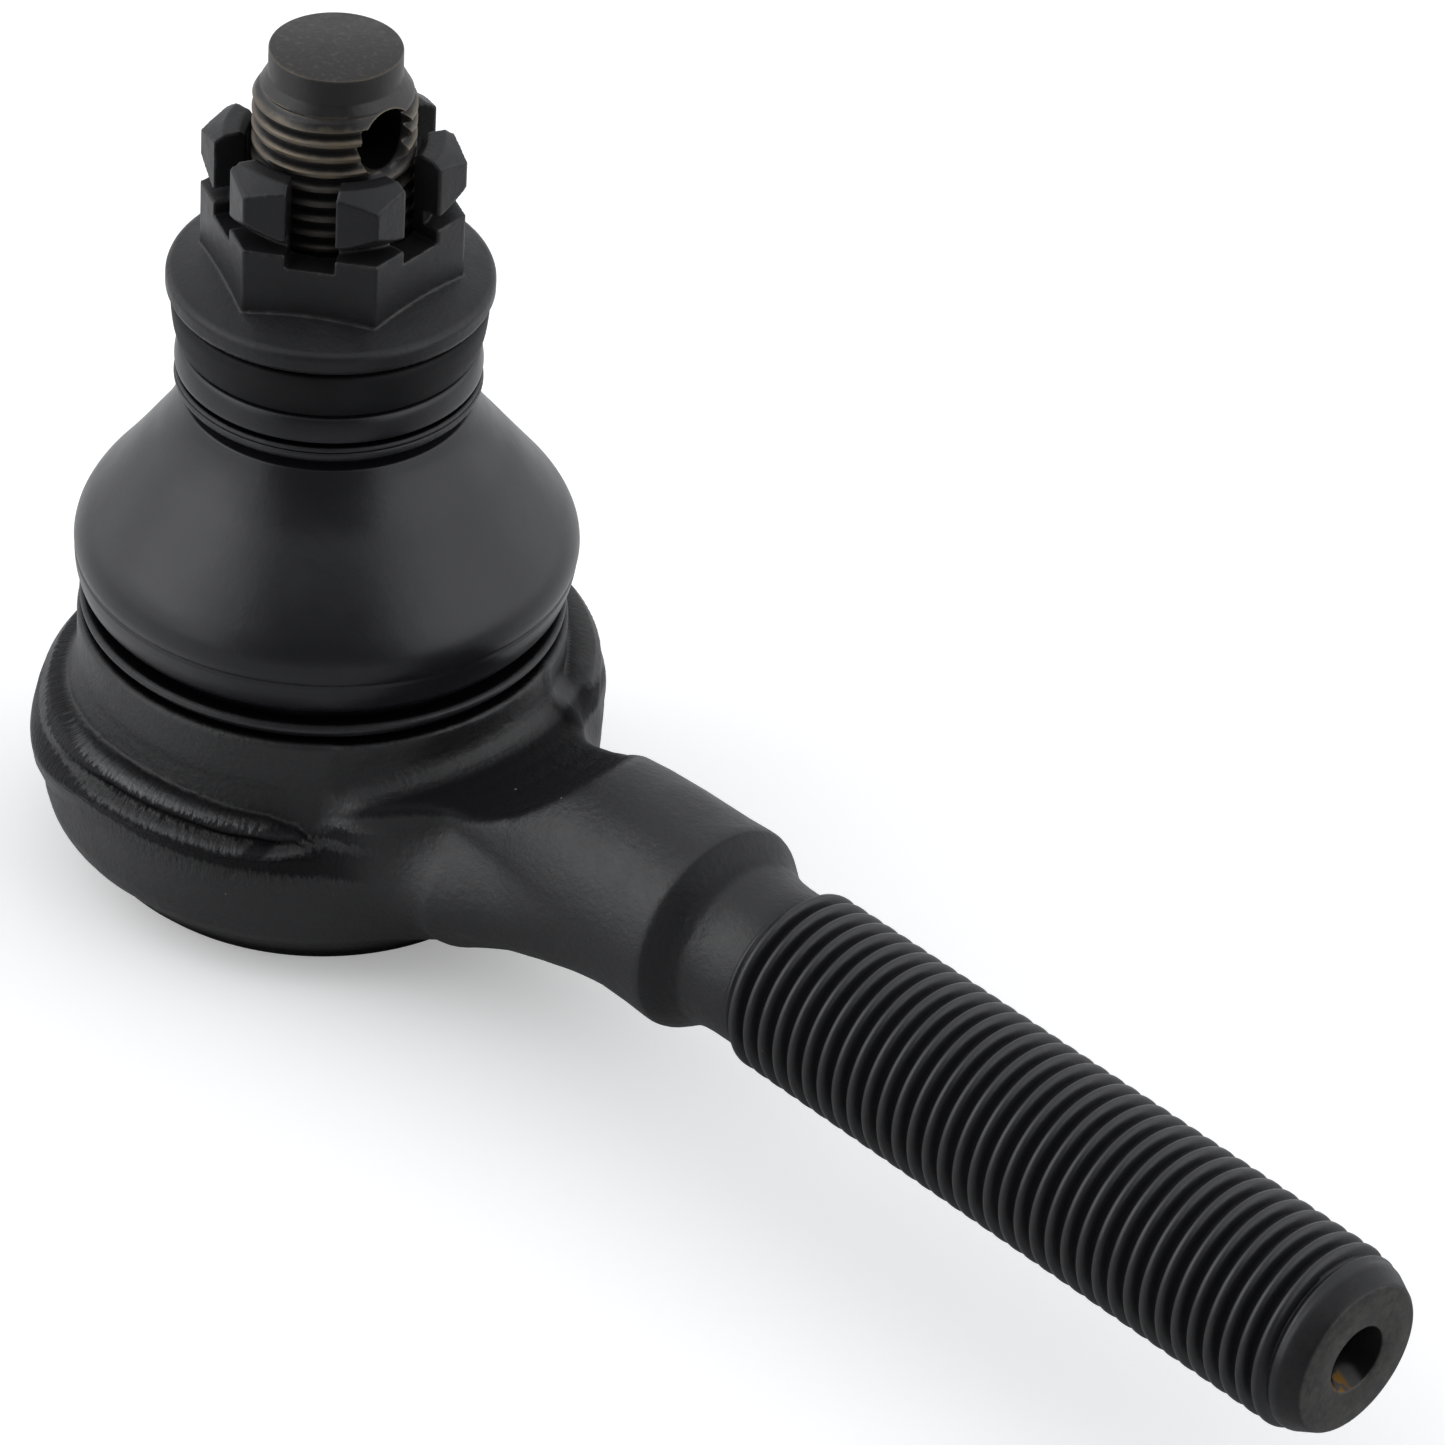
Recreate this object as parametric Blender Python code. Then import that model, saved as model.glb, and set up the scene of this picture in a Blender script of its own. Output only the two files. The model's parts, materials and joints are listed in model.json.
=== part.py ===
"""Tie rod end: a forged housing with a threaded shank, a ball stud that swings in polymer seats,
a rubber boot with its two rings, and a slotted flange nut.

Origin on the stud's axis at the end cover's outer face, +Z along the stud, +X along the shank. Metres.
The dimensions below count heights and distances from the centre of the ball.
"""

import math

import bmesh
import bpy
from mathutils import Matrix

MM = 0.001
GAP = 0.3 * MM

# Ball and stud (M12 x 1.25)
BALL_CENTRE_Z = 15.0 * MM  # above the end cover's outer face
BALL_R = 11.0 * MM
BALL_FLAT_Z = -7.4 * MM
STUD_NECK_R = 5.6 * MM
STUD_TAPER_BOTTOM_Z = 19.0 * MM
STUD_TAPER_TOP_Z = 32.6 * MM
STUD_TAPER_R = 7.1 * MM
TAPER_RATIO = 1 / 8
STUD_THREAD_R = 6.0 * MM
STUD_PITCH = 1.25 * MM
STUD_THREAD_START_Z = 34.0 * MM
STUD_THREAD_END_Z = 52.6 * MM
STUD_POINT_R = 4.8 * MM
STUD_TOP_Z = 54.25 * MM
COTTER_HOLE_R = 1.6 * MM
COTTER_HOLE_Z = 48.6 * MM
COTTER_HOLE_TURN = math.radians(4.0)

# Castle nut (17 mm across flats, with a flange)
NUT_BASE_Z = 33.8 * MM
NUT_FLANGE_R = 12.5 * MM
NUT_FLANGE_RIM = 1.8 * MM
NUT_ACROSS_FLATS = 17.0 * MM
NUT_HEX_BOTTOM_Z = 36.2 * MM
NUT_HEX_TOP_Z = 41.7 * MM
NUT_GROOVE_R = 7.7 * MM
NUT_CROWN_BOTTOM_Z = 43.8 * MM
NUT_CROWN_TOP_Z = 47.8 * MM
NUT_CROWN_CHAMFER = 1.4 * MM
NUT_BORE_R = STUD_THREAD_R + GAP
NUT_SLOT_WIDTH = 3.6 * MM
NUT_SLOT_BOTTOM_Z = 40.1 * MM
NUT_CORNER_TURN = math.radians(37.0)

# Housing forging
NECK_R = 18.5 * MM
NECK_TOP_Z = 5.6 * MM
LIP_R = 16.3 * MM
LIP_TOP_Z = 10.0 * MM
LIP_BOTTOM_Z = 8.6 * MM
BOOT_GROOVE_R = 15.3 * MM
COLLAR_R = 21.75 * MM
COLLAR_Z = -3.6 * MM
BODY_R = 20.9 * MM
BODY_BOTTOM_R = 18.6 * MM
SWAGE_R = 16.2 * MM
BOTTOM_Z = -15.5 * MM
CAVITY_R = 14.3 * MM
CAVITY_TOP_Z = 7.0 * MM
OPENING_R = 9.3 * MM
OPENING_TOP_R = 10.6 * MM
SWAGE_LIP_R = 12.4 * MM
SWAGE_LIP = 0.8 * MM

# Shank (M14 x 1.5)
ARM_R = 8.0 * MM
ARM_ROOT_R = 10.2 * MM
ARM_START_X = 15.4 * MM
SHOULDER_X = 43.2 * MM
SHANK_NECK_R = 6.45 * MM
SHANK_THREAD_R = 7.0 * MM
SHANK_PITCH = 1.5 * MM
SHANK_THREAD_START_X = 50.2 * MM
SHANK_THREAD_END_X = 104.9 * MM
SHANK_END_X = 106.0 * MM
SHANK_END_R = 5.75 * MM
CENTRE_HOLE_R = 2.65 * MM
CENTRE_HOLE_DEPTH = 4.0 * MM
RECESS_R = 28.0 * MM
RECESS_Z = 1.2 * MM

# Seats, spring and cover inside the housing
SEAT_R = CAVITY_R - GAP
SEAT_BORE_R = BALL_R + GAP
UPPER_SEAT_BOTTOM_Z = 0.6 * MM
UPPER_SEAT_TOP_Z = CAVITY_TOP_Z - GAP
LOWER_SEAT_TOP_Z = -0.1 * MM
LOWER_SEAT_BOTTOM_Z = -11.2 * MM
LOWER_SEAT_HOLE_Z = -9.9 * MM
SPRING_TOP_Z = LOWER_SEAT_BOTTOM_Z - GAP
SPRING_THICKNESS = 0.6 * MM
SPRING_RISE = 0.9 * MM
SPRING_R = 11.5 * MM
SPRING_BORE_R = 6.2 * MM
COVER_TOP_Z = SPRING_TOP_Z - SPRING_RISE - SPRING_THICKNESS - GAP
COVER_THICKNESS = 1.0 * MM
COVER_R = CAVITY_R - GAP
COVER_DISH_R = 9.5 * MM
COVER_DISH = 0.7 * MM

# Boot and its rings
BOOT_WALL = 1.6 * MM
BOOT_MAX_R = 18.2 * MM
BOOT_NECK_R = 11.0 * MM
BOOT_NECK_TOP_Z = 30.0 * MM
UPPER_RING_Z = 26.9 * MM
UPPER_RING_R = 11.5 * MM
UPPER_RING_HEIGHT = 1.7 * MM
UPPER_RING_DEPTH = 1.2 * MM
LOWER_RING_R = 18.3 * MM
LOWER_RING_BOTTOM_Z = 5.95 * MM
LOWER_RING_HEIGHT = 1.25 * MM
LOWER_RING_DEPTH = 1.2 * MM
LIP_SEAL_TOP_Z = NUT_BASE_Z - GAP
LIP_SEAL_R = 12.1 * MM
LIP_SEAL_BOTTOM_R = 10.9 * MM
LIP_SEAL_BOTTOM_Z = BOOT_NECK_TOP_Z + GAP
LIP_SEAL_BORE_R = 7.8 * MM

THREAD_DEPTH_SHARE = 0.6134
TURNED_COLUMNS = 32
STUD_COLUMNS = 20
SHANK_COLUMNS = 16
MERGE = 0.00001


def clear_scene():
    for obj in list(bpy.data.objects):
        bpy.data.objects.remove(obj, do_unlink=True)


def material(name, colour, roughness, metallic):
    made = bpy.data.materials.new(name)
    made.use_nodes = True
    shader = made.node_tree.nodes["Principled BSDF"]
    shader.inputs["Base Color"].default_value = (*colour, 1.0)
    shader.inputs["Roughness"].default_value = roughness
    shader.inputs["Metallic"].default_value = metallic
    return made


def object_from(name, mesh_builder, mat=None):
    """Links a smooth-shaded object whose mesh is the closed bmesh given, placed from the ball's centre."""
    bmesh.ops.remove_doubles(mesh_builder, verts=mesh_builder.verts, dist=MERGE)
    bmesh.ops.dissolve_degenerate(mesh_builder, edges=mesh_builder.edges, dist=MERGE / 10)
    bmesh.ops.recalc_face_normals(mesh_builder, faces=mesh_builder.faces)
    mesh = bpy.data.meshes.new(name)
    mesh_builder.to_mesh(mesh)
    mesh_builder.free()
    mesh.shade_smooth()
    mesh.set_sharp_from_angle(angle=math.radians(30))
    obj = bpy.data.objects.new(name, mesh)
    obj.parent = bpy.data.objects["ball_centre"]
    bpy.context.scene.collection.objects.link(obj)
    if mat:
        mesh.materials.append(mat)
    return obj


def revolve(builder, profile, columns, closed):
    """Spins a profile of (radius, height) points round Z and adds the surface to the builder."""
    verts = [builder.verts.new((radius, 0, height)) for radius, height in profile]
    pairs = list(zip(verts, verts[1:]))
    if closed:
        pairs.append((verts[-1], verts[0]))
    edges = [builder.edges.new(pair) for pair in pairs]
    bmesh.ops.spin(
        builder,
        geom=verts + edges,
        axis=(0, 0, 1),
        cent=(0, 0, 0),
        steps=columns,
        angle=math.tau,
        use_merge=True,
    )


def turned(name, profile, mat=None, columns=TURNED_COLUMNS, closed=False):
    """A turned solid: open profiles begin and end on the axis, closed ones go round a ring's section."""
    builder = bmesh.new()
    revolve(builder, profile, columns, closed)
    return object_from(name, builder, mat)


def arc(centre, radius, start, end, steps):
    """Points (radius, height) along an arc in the profile plane, angles in degrees from +radius."""
    angles = [math.radians(start + (end - start) * i / steps) for i in range(steps + 1)]
    return [(centre[0] + radius * math.cos(a), centre[1] + radius * math.sin(a)) for a in angles]


def add_thread(builder, start, end, start_r, end_r, crest_r, pitch, columns):
    """Adds the skin of a right-hand thread between two plane rings at the heights start and end."""
    root_r = crest_r - THREAD_DEPTH_SHARE * pitch
    rows = int((end - start) / pitch * 2) + 8
    grid = []
    for row in range(-3, rows):
        line = []
        for column in range(columns):
            turn = column / columns
            height = start + pitch * (row / 2 + turn)
            radius = crest_r if row % 2 else root_r
            if height <= start:
                height, radius = start, start_r
            elif height >= end:
                height, radius = end, end_r
            angle = math.tau * turn
            line.append(builder.verts.new((radius * math.cos(angle), radius * math.sin(angle), height)))
        grid.append(line)
    for row in range(len(grid) - 3):
        for column in range(columns):
            last = column == columns - 1
            step = 2 if last else 0
            after = 0 if last else column + 1
            corners = (
                grid[row][column],
                grid[row + step][after],
                grid[row + 1 + step][after],
                grid[row + 1][column],
            )
            places = {tuple(round(c / MERGE) for c in corner.co) for corner in corners}
            if len(places) > 2:
                builder.faces.new(corners)


def hex_prism(name, across_flats, bottom, top, corner_turn):
    """A hexagonal prism with one of its corners at the angle corner_turn from +X."""
    builder = bmesh.new()
    bmesh.ops.create_cone(
        builder,
        cap_ends=True,
        segments=6,
        radius1=across_flats / math.sqrt(3),
        radius2=across_flats / math.sqrt(3),
        depth=top - bottom,
        matrix=Matrix.Translation((0, 0, (top + bottom) / 2))
        @ Matrix.Rotation(corner_turn - math.pi / 2, 4, "Z"),
    )
    return object_from(name, builder)


def block(name, size, centre, turn):
    builder = bmesh.new()
    place = Matrix.Rotation(turn, 4, "Z") @ Matrix.Translation(centre) @ Matrix.Diagonal((*size, 1))
    bmesh.ops.create_cube(builder, size=1, matrix=place)
    return object_from(name, builder)


def helper(obj):
    """Keeps a Boolean's other shape out of the model."""
    obj.hide_render = True
    obj.display_type = "WIRE"
    return obj


def combine(obj, other, operation):
    modifier = obj.modifiers.new(operation.title() + "_" + other.name, "BOOLEAN")
    modifier.operation = operation
    modifier.object = helper(other)


def make_housing(mat):
    outside = [
        (BOOT_GROOVE_R, LIP_BOTTOM_Z),
        (LIP_R, LIP_BOTTOM_Z + 0.2 * MM),
        (LIP_R, LIP_TOP_Z - 0.6 * MM),
        (LIP_R - 0.6 * MM, LIP_TOP_Z),
        (OPENING_TOP_R, LIP_TOP_Z),
        (OPENING_R, CAVITY_TOP_Z),
        (CAVITY_R, CAVITY_TOP_Z),
        (CAVITY_R, BOTTOM_Z + SWAGE_LIP),
        (SWAGE_LIP_R, BOTTOM_Z + SWAGE_LIP),
        (SWAGE_LIP_R, BOTTOM_Z),
        (SWAGE_R, BOTTOM_Z),
        (BODY_BOTTOM_R - 0.7 * MM, BOTTOM_Z + 0.7 * MM),
        (BODY_BOTTOM_R, BOTTOM_Z + 2.0 * MM),
        (BODY_R, -8.8 * MM),
        (BODY_R, -7.2 * MM),
    ]
    collar = arc((COLLAR_R - 2.4 * MM, COLLAR_Z), 2.4 * MM, -50, 50, 6)
    neck = [
        (NECK_R + 0.5 * MM, -0.4 * MM),
        (NECK_R, 0.9 * MM),
        (NECK_R, NECK_TOP_Z - 0.4 * MM),
        (NECK_R - 0.4 * MM, NECK_TOP_Z),
        (BOOT_GROOVE_R, NECK_TOP_Z),
    ]
    housing = turned("housing", outside + collar + neck, mat, closed=True)
    combine(housing, make_shank(), "UNION")
    return housing


def make_shank():
    """The arm and threaded shank, grown along +Z and then laid along +X."""
    builder = bmesh.new()
    arm = [
        (0, ARM_START_X),
        (ARM_ROOT_R - 0.4 * MM, ARM_START_X),
        (ARM_ROOT_R, 21.0 * MM),
        (9.0 * MM, 25.0 * MM),
        (8.2 * MM, 30.0 * MM),
        (ARM_R, 36.0 * MM),
    ]
    shoulder = arc((ARM_R - 1.2 * MM, SHOULDER_X - 0.2 * MM), 1.2 * MM, 0, 70, 3)
    neck = [
        (SHANK_NECK_R + 0.2 * MM, SHOULDER_X + 2.2 * MM),
        (SHANK_NECK_R, SHOULDER_X + 3.2 * MM),
        (SHANK_NECK_R, SHANK_THREAD_START_X),
    ]
    end = [
        (SHANK_THREAD_R - 0.5 * MM, SHANK_THREAD_END_X),
        (SHANK_END_R, SHANK_END_X),
        (CENTRE_HOLE_R, SHANK_END_X),
        (1.2 * MM, SHANK_END_X - 2.2 * MM),
        (1.2 * MM, SHANK_END_X - CENTRE_HOLE_DEPTH + 0.5 * MM),
        (0, SHANK_END_X - CENTRE_HOLE_DEPTH),
    ]
    revolve(builder, arm + shoulder + neck, SHANK_COLUMNS, False)
    add_thread(
        builder,
        SHANK_THREAD_START_X,
        SHANK_THREAD_END_X,
        SHANK_NECK_R,
        SHANK_THREAD_R - 0.5 * MM,
        SHANK_THREAD_R,
        SHANK_PITCH,
        SHANK_COLUMNS,
    )
    revolve(builder, end, SHANK_COLUMNS, False)
    bmesh.ops.rotate(builder, verts=builder.verts, matrix=Matrix.Rotation(math.pi / 2, 3, "Y"))
    shank = object_from("shank_shape", builder)
    combine(shank, boot_clearance_shape(), "DIFFERENCE")
    return shank


def boot_clearance_shape():
    """The turned recess that keeps the arm's top clear of the boot."""
    profile = [
        (0, LIP_TOP_Z + 2 * MM),
        (RECESS_R + 2.5 * MM, LIP_TOP_Z + 2 * MM),
        (RECESS_R, ARM_R + 0.4 * MM),
        (NECK_R + 3.2 * MM, RECESS_Z + 1.0 * MM),
        (NECK_R + 2.0 * MM, RECESS_Z),
        (0, RECESS_Z),
    ]
    return turned("boot_clearance_shape", profile)


def make_ball_stud(mat):
    builder = bmesh.new()
    flat_angle = math.degrees(math.asin(BALL_FLAT_Z / BALL_R))
    neck_angle = math.degrees(math.acos(STUD_NECK_R / BALL_R))
    taper_top_r = STUD_TAPER_R - TAPER_RATIO / 2 * (STUD_TAPER_TOP_Z - STUD_TAPER_BOTTOM_Z)
    ball = [(0, BALL_FLAT_Z)] + arc((0, 0), BALL_R, flat_angle, neck_angle, 11)
    taper = [
        (STUD_NECK_R, 14.5 * MM),
        (STUD_TAPER_R - 0.3 * MM, STUD_TAPER_BOTTOM_Z - 1.0 * MM),
        (STUD_TAPER_R, STUD_TAPER_BOTTOM_Z),
        (taper_top_r, STUD_TAPER_TOP_Z),
        (STUD_THREAD_R - 0.8 * MM, STUD_THREAD_START_Z),
    ]
    point = [
        (STUD_THREAD_R - 0.9 * MM, STUD_THREAD_END_Z),
        (STUD_POINT_R, STUD_THREAD_END_Z + 0.3 * MM),
        (STUD_POINT_R, STUD_TOP_Z - 0.2 * MM),
        (STUD_POINT_R - 0.2 * MM, STUD_TOP_Z),
        (0, STUD_TOP_Z),
    ]
    revolve(builder, ball + taper, STUD_COLUMNS, False)
    add_thread(
        builder,
        STUD_THREAD_START_Z,
        STUD_THREAD_END_Z,
        STUD_THREAD_R - 0.8 * MM,
        STUD_THREAD_R - 0.9 * MM,
        STUD_THREAD_R,
        STUD_PITCH,
        STUD_COLUMNS,
    )
    revolve(builder, point, STUD_COLUMNS, False)
    stud = object_from("ball_stud", builder, mat)
    combine(stud, cotter_hole_shape(), "DIFFERENCE")
    return stud


def cotter_hole_shape():
    """The cross hole with a countersink at each mouth."""
    reach = STUD_THREAD_R + 1.0 * MM
    mouth = STUD_THREAD_R - 1.1 * MM
    flare = COTTER_HOLE_R + 2.1 * MM
    half = [(0, 0), (COTTER_HOLE_R, 0), (COTTER_HOLE_R, mouth), (flare, reach), (0, reach)]
    profile = [(radius, -height) for radius, height in reversed(half[2:])] + half[2:]
    cutter = turned("cotter_hole_shape", profile, columns=16)
    cutter.location = (0, 0, COTTER_HOLE_Z)
    cutter.rotation_euler = (math.pi / 2, 0, COTTER_HOLE_TURN + math.pi / 2)
    return cutter


def make_castle_nut(mat):
    cone_top_r = NUT_ACROSS_FLATS / 2 - 0.4 * MM
    flange = [
        (NUT_BORE_R, NUT_BASE_Z),
        (NUT_FLANGE_R - 0.3 * MM, NUT_BASE_Z),
        (NUT_FLANGE_R, NUT_BASE_Z + 0.3 * MM),
        (NUT_FLANGE_R, NUT_BASE_Z + NUT_FLANGE_RIM - 0.3 * MM),
        (NUT_FLANGE_R - 0.3 * MM, NUT_BASE_Z + NUT_FLANGE_RIM),
        (cone_top_r, NUT_HEX_BOTTOM_Z + 0.5 * MM),
        (NUT_GROOVE_R, NUT_HEX_BOTTOM_Z + 0.5 * MM),
        (NUT_GROOVE_R, NUT_CROWN_TOP_Z - 0.4 * MM),
        (NUT_BORE_R, NUT_CROWN_TOP_Z - 0.4 * MM),
    ]
    nut = turned("castle_nut", list(reversed(flange)), mat, closed=True)
    lower = hex_prism(
        "nut_hex_shape", NUT_ACROSS_FLATS, NUT_HEX_BOTTOM_Z - 0.6 * MM, NUT_HEX_TOP_Z, NUT_CORNER_TURN
    )
    combine(lower, bore_shape("nut_hex_bore_shape"), "DIFFERENCE")
    combine(nut, lower, "UNION")
    combine(nut, make_crown_shape(), "UNION")
    for index in range(3):
        centre_z = (NUT_SLOT_BOTTOM_Z + NUT_CROWN_TOP_Z + MM) / 2
        size = (4 * NUT_FLANGE_R, NUT_SLOT_WIDTH, NUT_CROWN_TOP_Z + MM - NUT_SLOT_BOTTOM_Z)
        flat_turn = NUT_CORNER_TURN + math.radians(30 + 60 * index)
        combine(nut, block(f"slot_shape_{index}", size, (0, 0, centre_z), flat_turn), "DIFFERENCE")
    return nut


def bore_shape(name):
    profile = [
        (0, NUT_CROWN_TOP_Z + MM),
        (NUT_BORE_R, NUT_CROWN_TOP_Z + MM),
        (NUT_BORE_R, NUT_BASE_Z - MM),
        (0, NUT_BASE_Z - MM),
    ]
    return turned(name, profile)


def make_crown_shape():
    corner_r = NUT_ACROSS_FLATS / math.sqrt(3)
    crown = hex_prism(
        "nut_crown_shape", NUT_ACROSS_FLATS, NUT_CROWN_BOTTOM_Z, NUT_CROWN_TOP_Z, NUT_CORNER_TURN
    )
    cone = turned(
        "crown_cone_shape",
        [
            (0, NUT_CROWN_TOP_Z + 0.5 * MM),
            (corner_r - 1.6 * NUT_CROWN_CHAMFER, NUT_CROWN_TOP_Z + 0.5 * MM),
            (corner_r + 0.3 * MM, NUT_CROWN_TOP_Z - NUT_CROWN_CHAMFER),
            (corner_r + 0.3 * MM, NUT_CROWN_BOTTOM_Z - MM),
            (0, NUT_CROWN_BOTTOM_Z - MM),
        ],
    )
    combine(crown, cone, "INTERSECT")
    combine(crown, bore_shape("nut_crown_bore_shape"), "DIFFERENCE")
    return crown


def make_upper_seat(mat):
    top_angle = math.degrees(math.asin((UPPER_SEAT_TOP_Z - 0.3 * MM) / SEAT_BORE_R))
    bottom_angle = math.degrees(math.asin(UPPER_SEAT_BOTTOM_Z / SEAT_BORE_R))
    inner = arc((0, 0), SEAT_BORE_R, top_angle, bottom_angle, 5)
    profile = [
        (SEAT_R, UPPER_SEAT_BOTTOM_Z),
        (SEAT_R, UPPER_SEAT_TOP_Z),
        (SEAT_BORE_R * math.cos(math.radians(top_angle)) + 0.2 * MM, UPPER_SEAT_TOP_Z),
    ]
    return turned("upper_seat", profile + inner, mat, closed=True)


def make_lower_seat(mat):
    top_angle = math.degrees(math.asin(LOWER_SEAT_TOP_Z / SEAT_BORE_R))
    hole_angle = math.degrees(math.asin(LOWER_SEAT_HOLE_Z / SEAT_BORE_R))
    inner = arc((0, 0), SEAT_BORE_R, top_angle, hole_angle, 8)
    hole_r = inner[-1][0]
    profile = [
        (hole_r, LOWER_SEAT_BOTTOM_Z),
        (SEAT_R - 2.0 * MM, LOWER_SEAT_BOTTOM_Z),
        (SEAT_R, LOWER_SEAT_BOTTOM_Z + 3.0 * MM),
        (SEAT_R, LOWER_SEAT_TOP_Z),
    ]
    return turned("lower_seat", profile + inner, mat, closed=True)


def make_preload_spring(mat):
    """A cone-shaped disc spring, its inner edge up against the lower seat."""
    profile = [
        (SPRING_BORE_R, SPRING_TOP_Z),
        (SPRING_R, SPRING_TOP_Z - SPRING_RISE),
        (SPRING_R, SPRING_TOP_Z - SPRING_RISE - SPRING_THICKNESS),
        (SPRING_BORE_R, SPRING_TOP_Z - SPRING_THICKNESS),
    ]
    return turned("preload_spring", profile, mat, closed=True)


def make_end_cover(mat):
    """The pressed disc that closes the bottom, held by the rim rolled over its edge."""
    top, bottom = COVER_TOP_Z, COVER_TOP_Z - COVER_THICKNESS
    rise = 0.6 * MM
    profile = [
        (0, top - COVER_DISH),
        (COVER_DISH_R, top - COVER_DISH),
        (COVER_DISH_R + rise, top),
        (COVER_R, top),
        (COVER_R, bottom),
        (COVER_DISH_R + 1.4 * rise, bottom),
        (COVER_DISH_R + 0.4 * rise, bottom - COVER_DISH),
        (0, bottom - COVER_DISH),
    ]
    return turned("end_cover", profile, mat)


def boot_outline():
    """Outer side of the boot from the bead in the housing's groove to the top of its neck."""
    return [
        (16.7 * MM, NECK_TOP_Z + GAP),
        (16.7 * MM, 7.5 * MM),
        (17.7 * MM, 7.8 * MM),
        (18.1 * MM, 9.0 * MM),
        (BOOT_MAX_R, 12.0 * MM),
        (17.7 * MM, 15.2 * MM),
        (16.4 * MM, 18.2 * MM),
        (14.5 * MM, 21.0 * MM),
        (12.4 * MM, 23.4 * MM),
        (BOOT_NECK_R, 25.2 * MM),
        (BOOT_NECK_R - 1.0 * MM, 25.9 * MM),
        (BOOT_NECK_R - 1.0 * MM, 28.0 * MM),
        (BOOT_NECK_R, 28.2 * MM),
        (BOOT_NECK_R, BOOT_NECK_TOP_Z),
    ]


def make_dust_boot(mat):
    inside = [
        (8.2 * MM, BOOT_NECK_TOP_Z),
        (8.2 * MM, 25.2 * MM),
        (10.4 * MM, 23.2 * MM),
        (12.6 * MM, 20.6 * MM),
        (14.6 * MM, 17.4 * MM),
        (16.0 * MM, 14.6 * MM),
        (BOOT_MAX_R - BOOT_WALL, 12.0 * MM),
        (LIP_R + 0.5 * MM, 10.2 * MM),
        (LIP_R + 0.5 * MM, LIP_BOTTOM_Z - GAP),
        (BOOT_GROOVE_R + GAP, LIP_BOTTOM_Z - 2 * GAP),
        (BOOT_GROOVE_R + GAP, NECK_TOP_Z + GAP),
    ]
    return turned("dust_boot", boot_outline() + inside, mat, closed=True)


def ring(name, outer_r, depth, bottom, height, mat):
    """A ring with rounded outer corners."""
    round_r = 0.4 * height
    corner = (outer_r - round_r, bottom + round_r)
    top_corner = (outer_r - round_r, bottom + height - round_r)
    profile = [(outer_r - depth, bottom)]
    profile += arc(corner, round_r, -90, 0, 3)
    profile += arc(top_corner, round_r, 0, 90, 3)
    profile += [(outer_r - depth, bottom + height)]
    return turned(name, profile, mat, closed=True)


def make_seal_lip(mat):
    """The boot's thick top lip, squeezed under the nut."""
    profile = [
        (LIP_SEAL_BORE_R, LIP_SEAL_BOTTOM_Z),
        (LIP_SEAL_BOTTOM_R, LIP_SEAL_BOTTOM_Z),
        (LIP_SEAL_R - 0.2 * MM, LIP_SEAL_BOTTOM_Z + 1.6 * MM),
        (LIP_SEAL_R, LIP_SEAL_TOP_Z - 0.8 * MM),
        (LIP_SEAL_R - 0.5 * MM, LIP_SEAL_TOP_Z),
        (LIP_SEAL_BORE_R, LIP_SEAL_TOP_Z),
    ]
    return turned("seal_lip", profile, mat, closed=True)


def pivot(name, parent=None, height=0.0):
    """An empty on the stud's axis for other pieces to hang on."""
    empty = bpy.data.objects.new(name, None)
    empty.empty_display_size = BALL_R
    empty.parent = parent
    empty.location = (0, 0, height)
    bpy.context.scene.collection.objects.link(empty)
    return empty


def build():
    clear_scene()
    forged = material("forged_black", (0.022, 0.022, 0.025), 0.42, 0.3)
    steel = material("stud_black_steel", (0.03, 0.029, 0.03), 0.38, 0.8)
    nut_black = material("nut_black", (0.018, 0.018, 0.021), 0.4, 0.5)
    rubber = material("boot_rubber", (0.02, 0.02, 0.024), 0.48, 0.0)
    ring_black = material("ring_black_steel", (0.03, 0.03, 0.034), 0.35, 0.6)
    polymer = material("seat_polymer", (0.75, 0.74, 0.69), 0.45, 0.0)
    spring_steel = material("spring_steel", (0.28, 0.28, 0.29), 0.32, 0.9)
    cover_steel = material("cover_black", (0.03, 0.03, 0.033), 0.4, 0.5)

    centre = pivot("ball_centre", height=BALL_CENTRE_Z)
    swivel = pivot("swivel_centre", centre)
    tilt = pivot("tilt_centre", swivel)

    make_housing(forged)
    make_end_cover(cover_steel)
    make_preload_spring(spring_steel)
    make_upper_seat(polymer)
    make_lower_seat(polymer)
    ring("boot_lower_ring", LOWER_RING_R, LOWER_RING_DEPTH, LOWER_RING_BOTTOM_Z, LOWER_RING_HEIGHT, ring_black)

    make_dust_boot(rubber).parent = swivel
    upper_bottom = UPPER_RING_Z - UPPER_RING_HEIGHT / 2
    upper_ring = ring(
        "boot_upper_ring", UPPER_RING_R, UPPER_RING_DEPTH, upper_bottom, UPPER_RING_HEIGHT, ring_black
    )
    upper_ring.parent = tilt
    make_seal_lip(rubber).parent = tilt
    stud = make_ball_stud(steel)
    stud.parent = tilt
    make_castle_nut(nut_black).parent = stud


build()
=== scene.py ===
"""Tie rod end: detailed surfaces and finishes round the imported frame.

Shapes are worked out in millimetres from the centre of the ball, +Z along the stud and +X along the
shank, and then placed in the row frame in metres.
"""

import json
import math

import bmesh
import bpy
import numpy as np
from mathutils import Matrix, Vector


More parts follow.
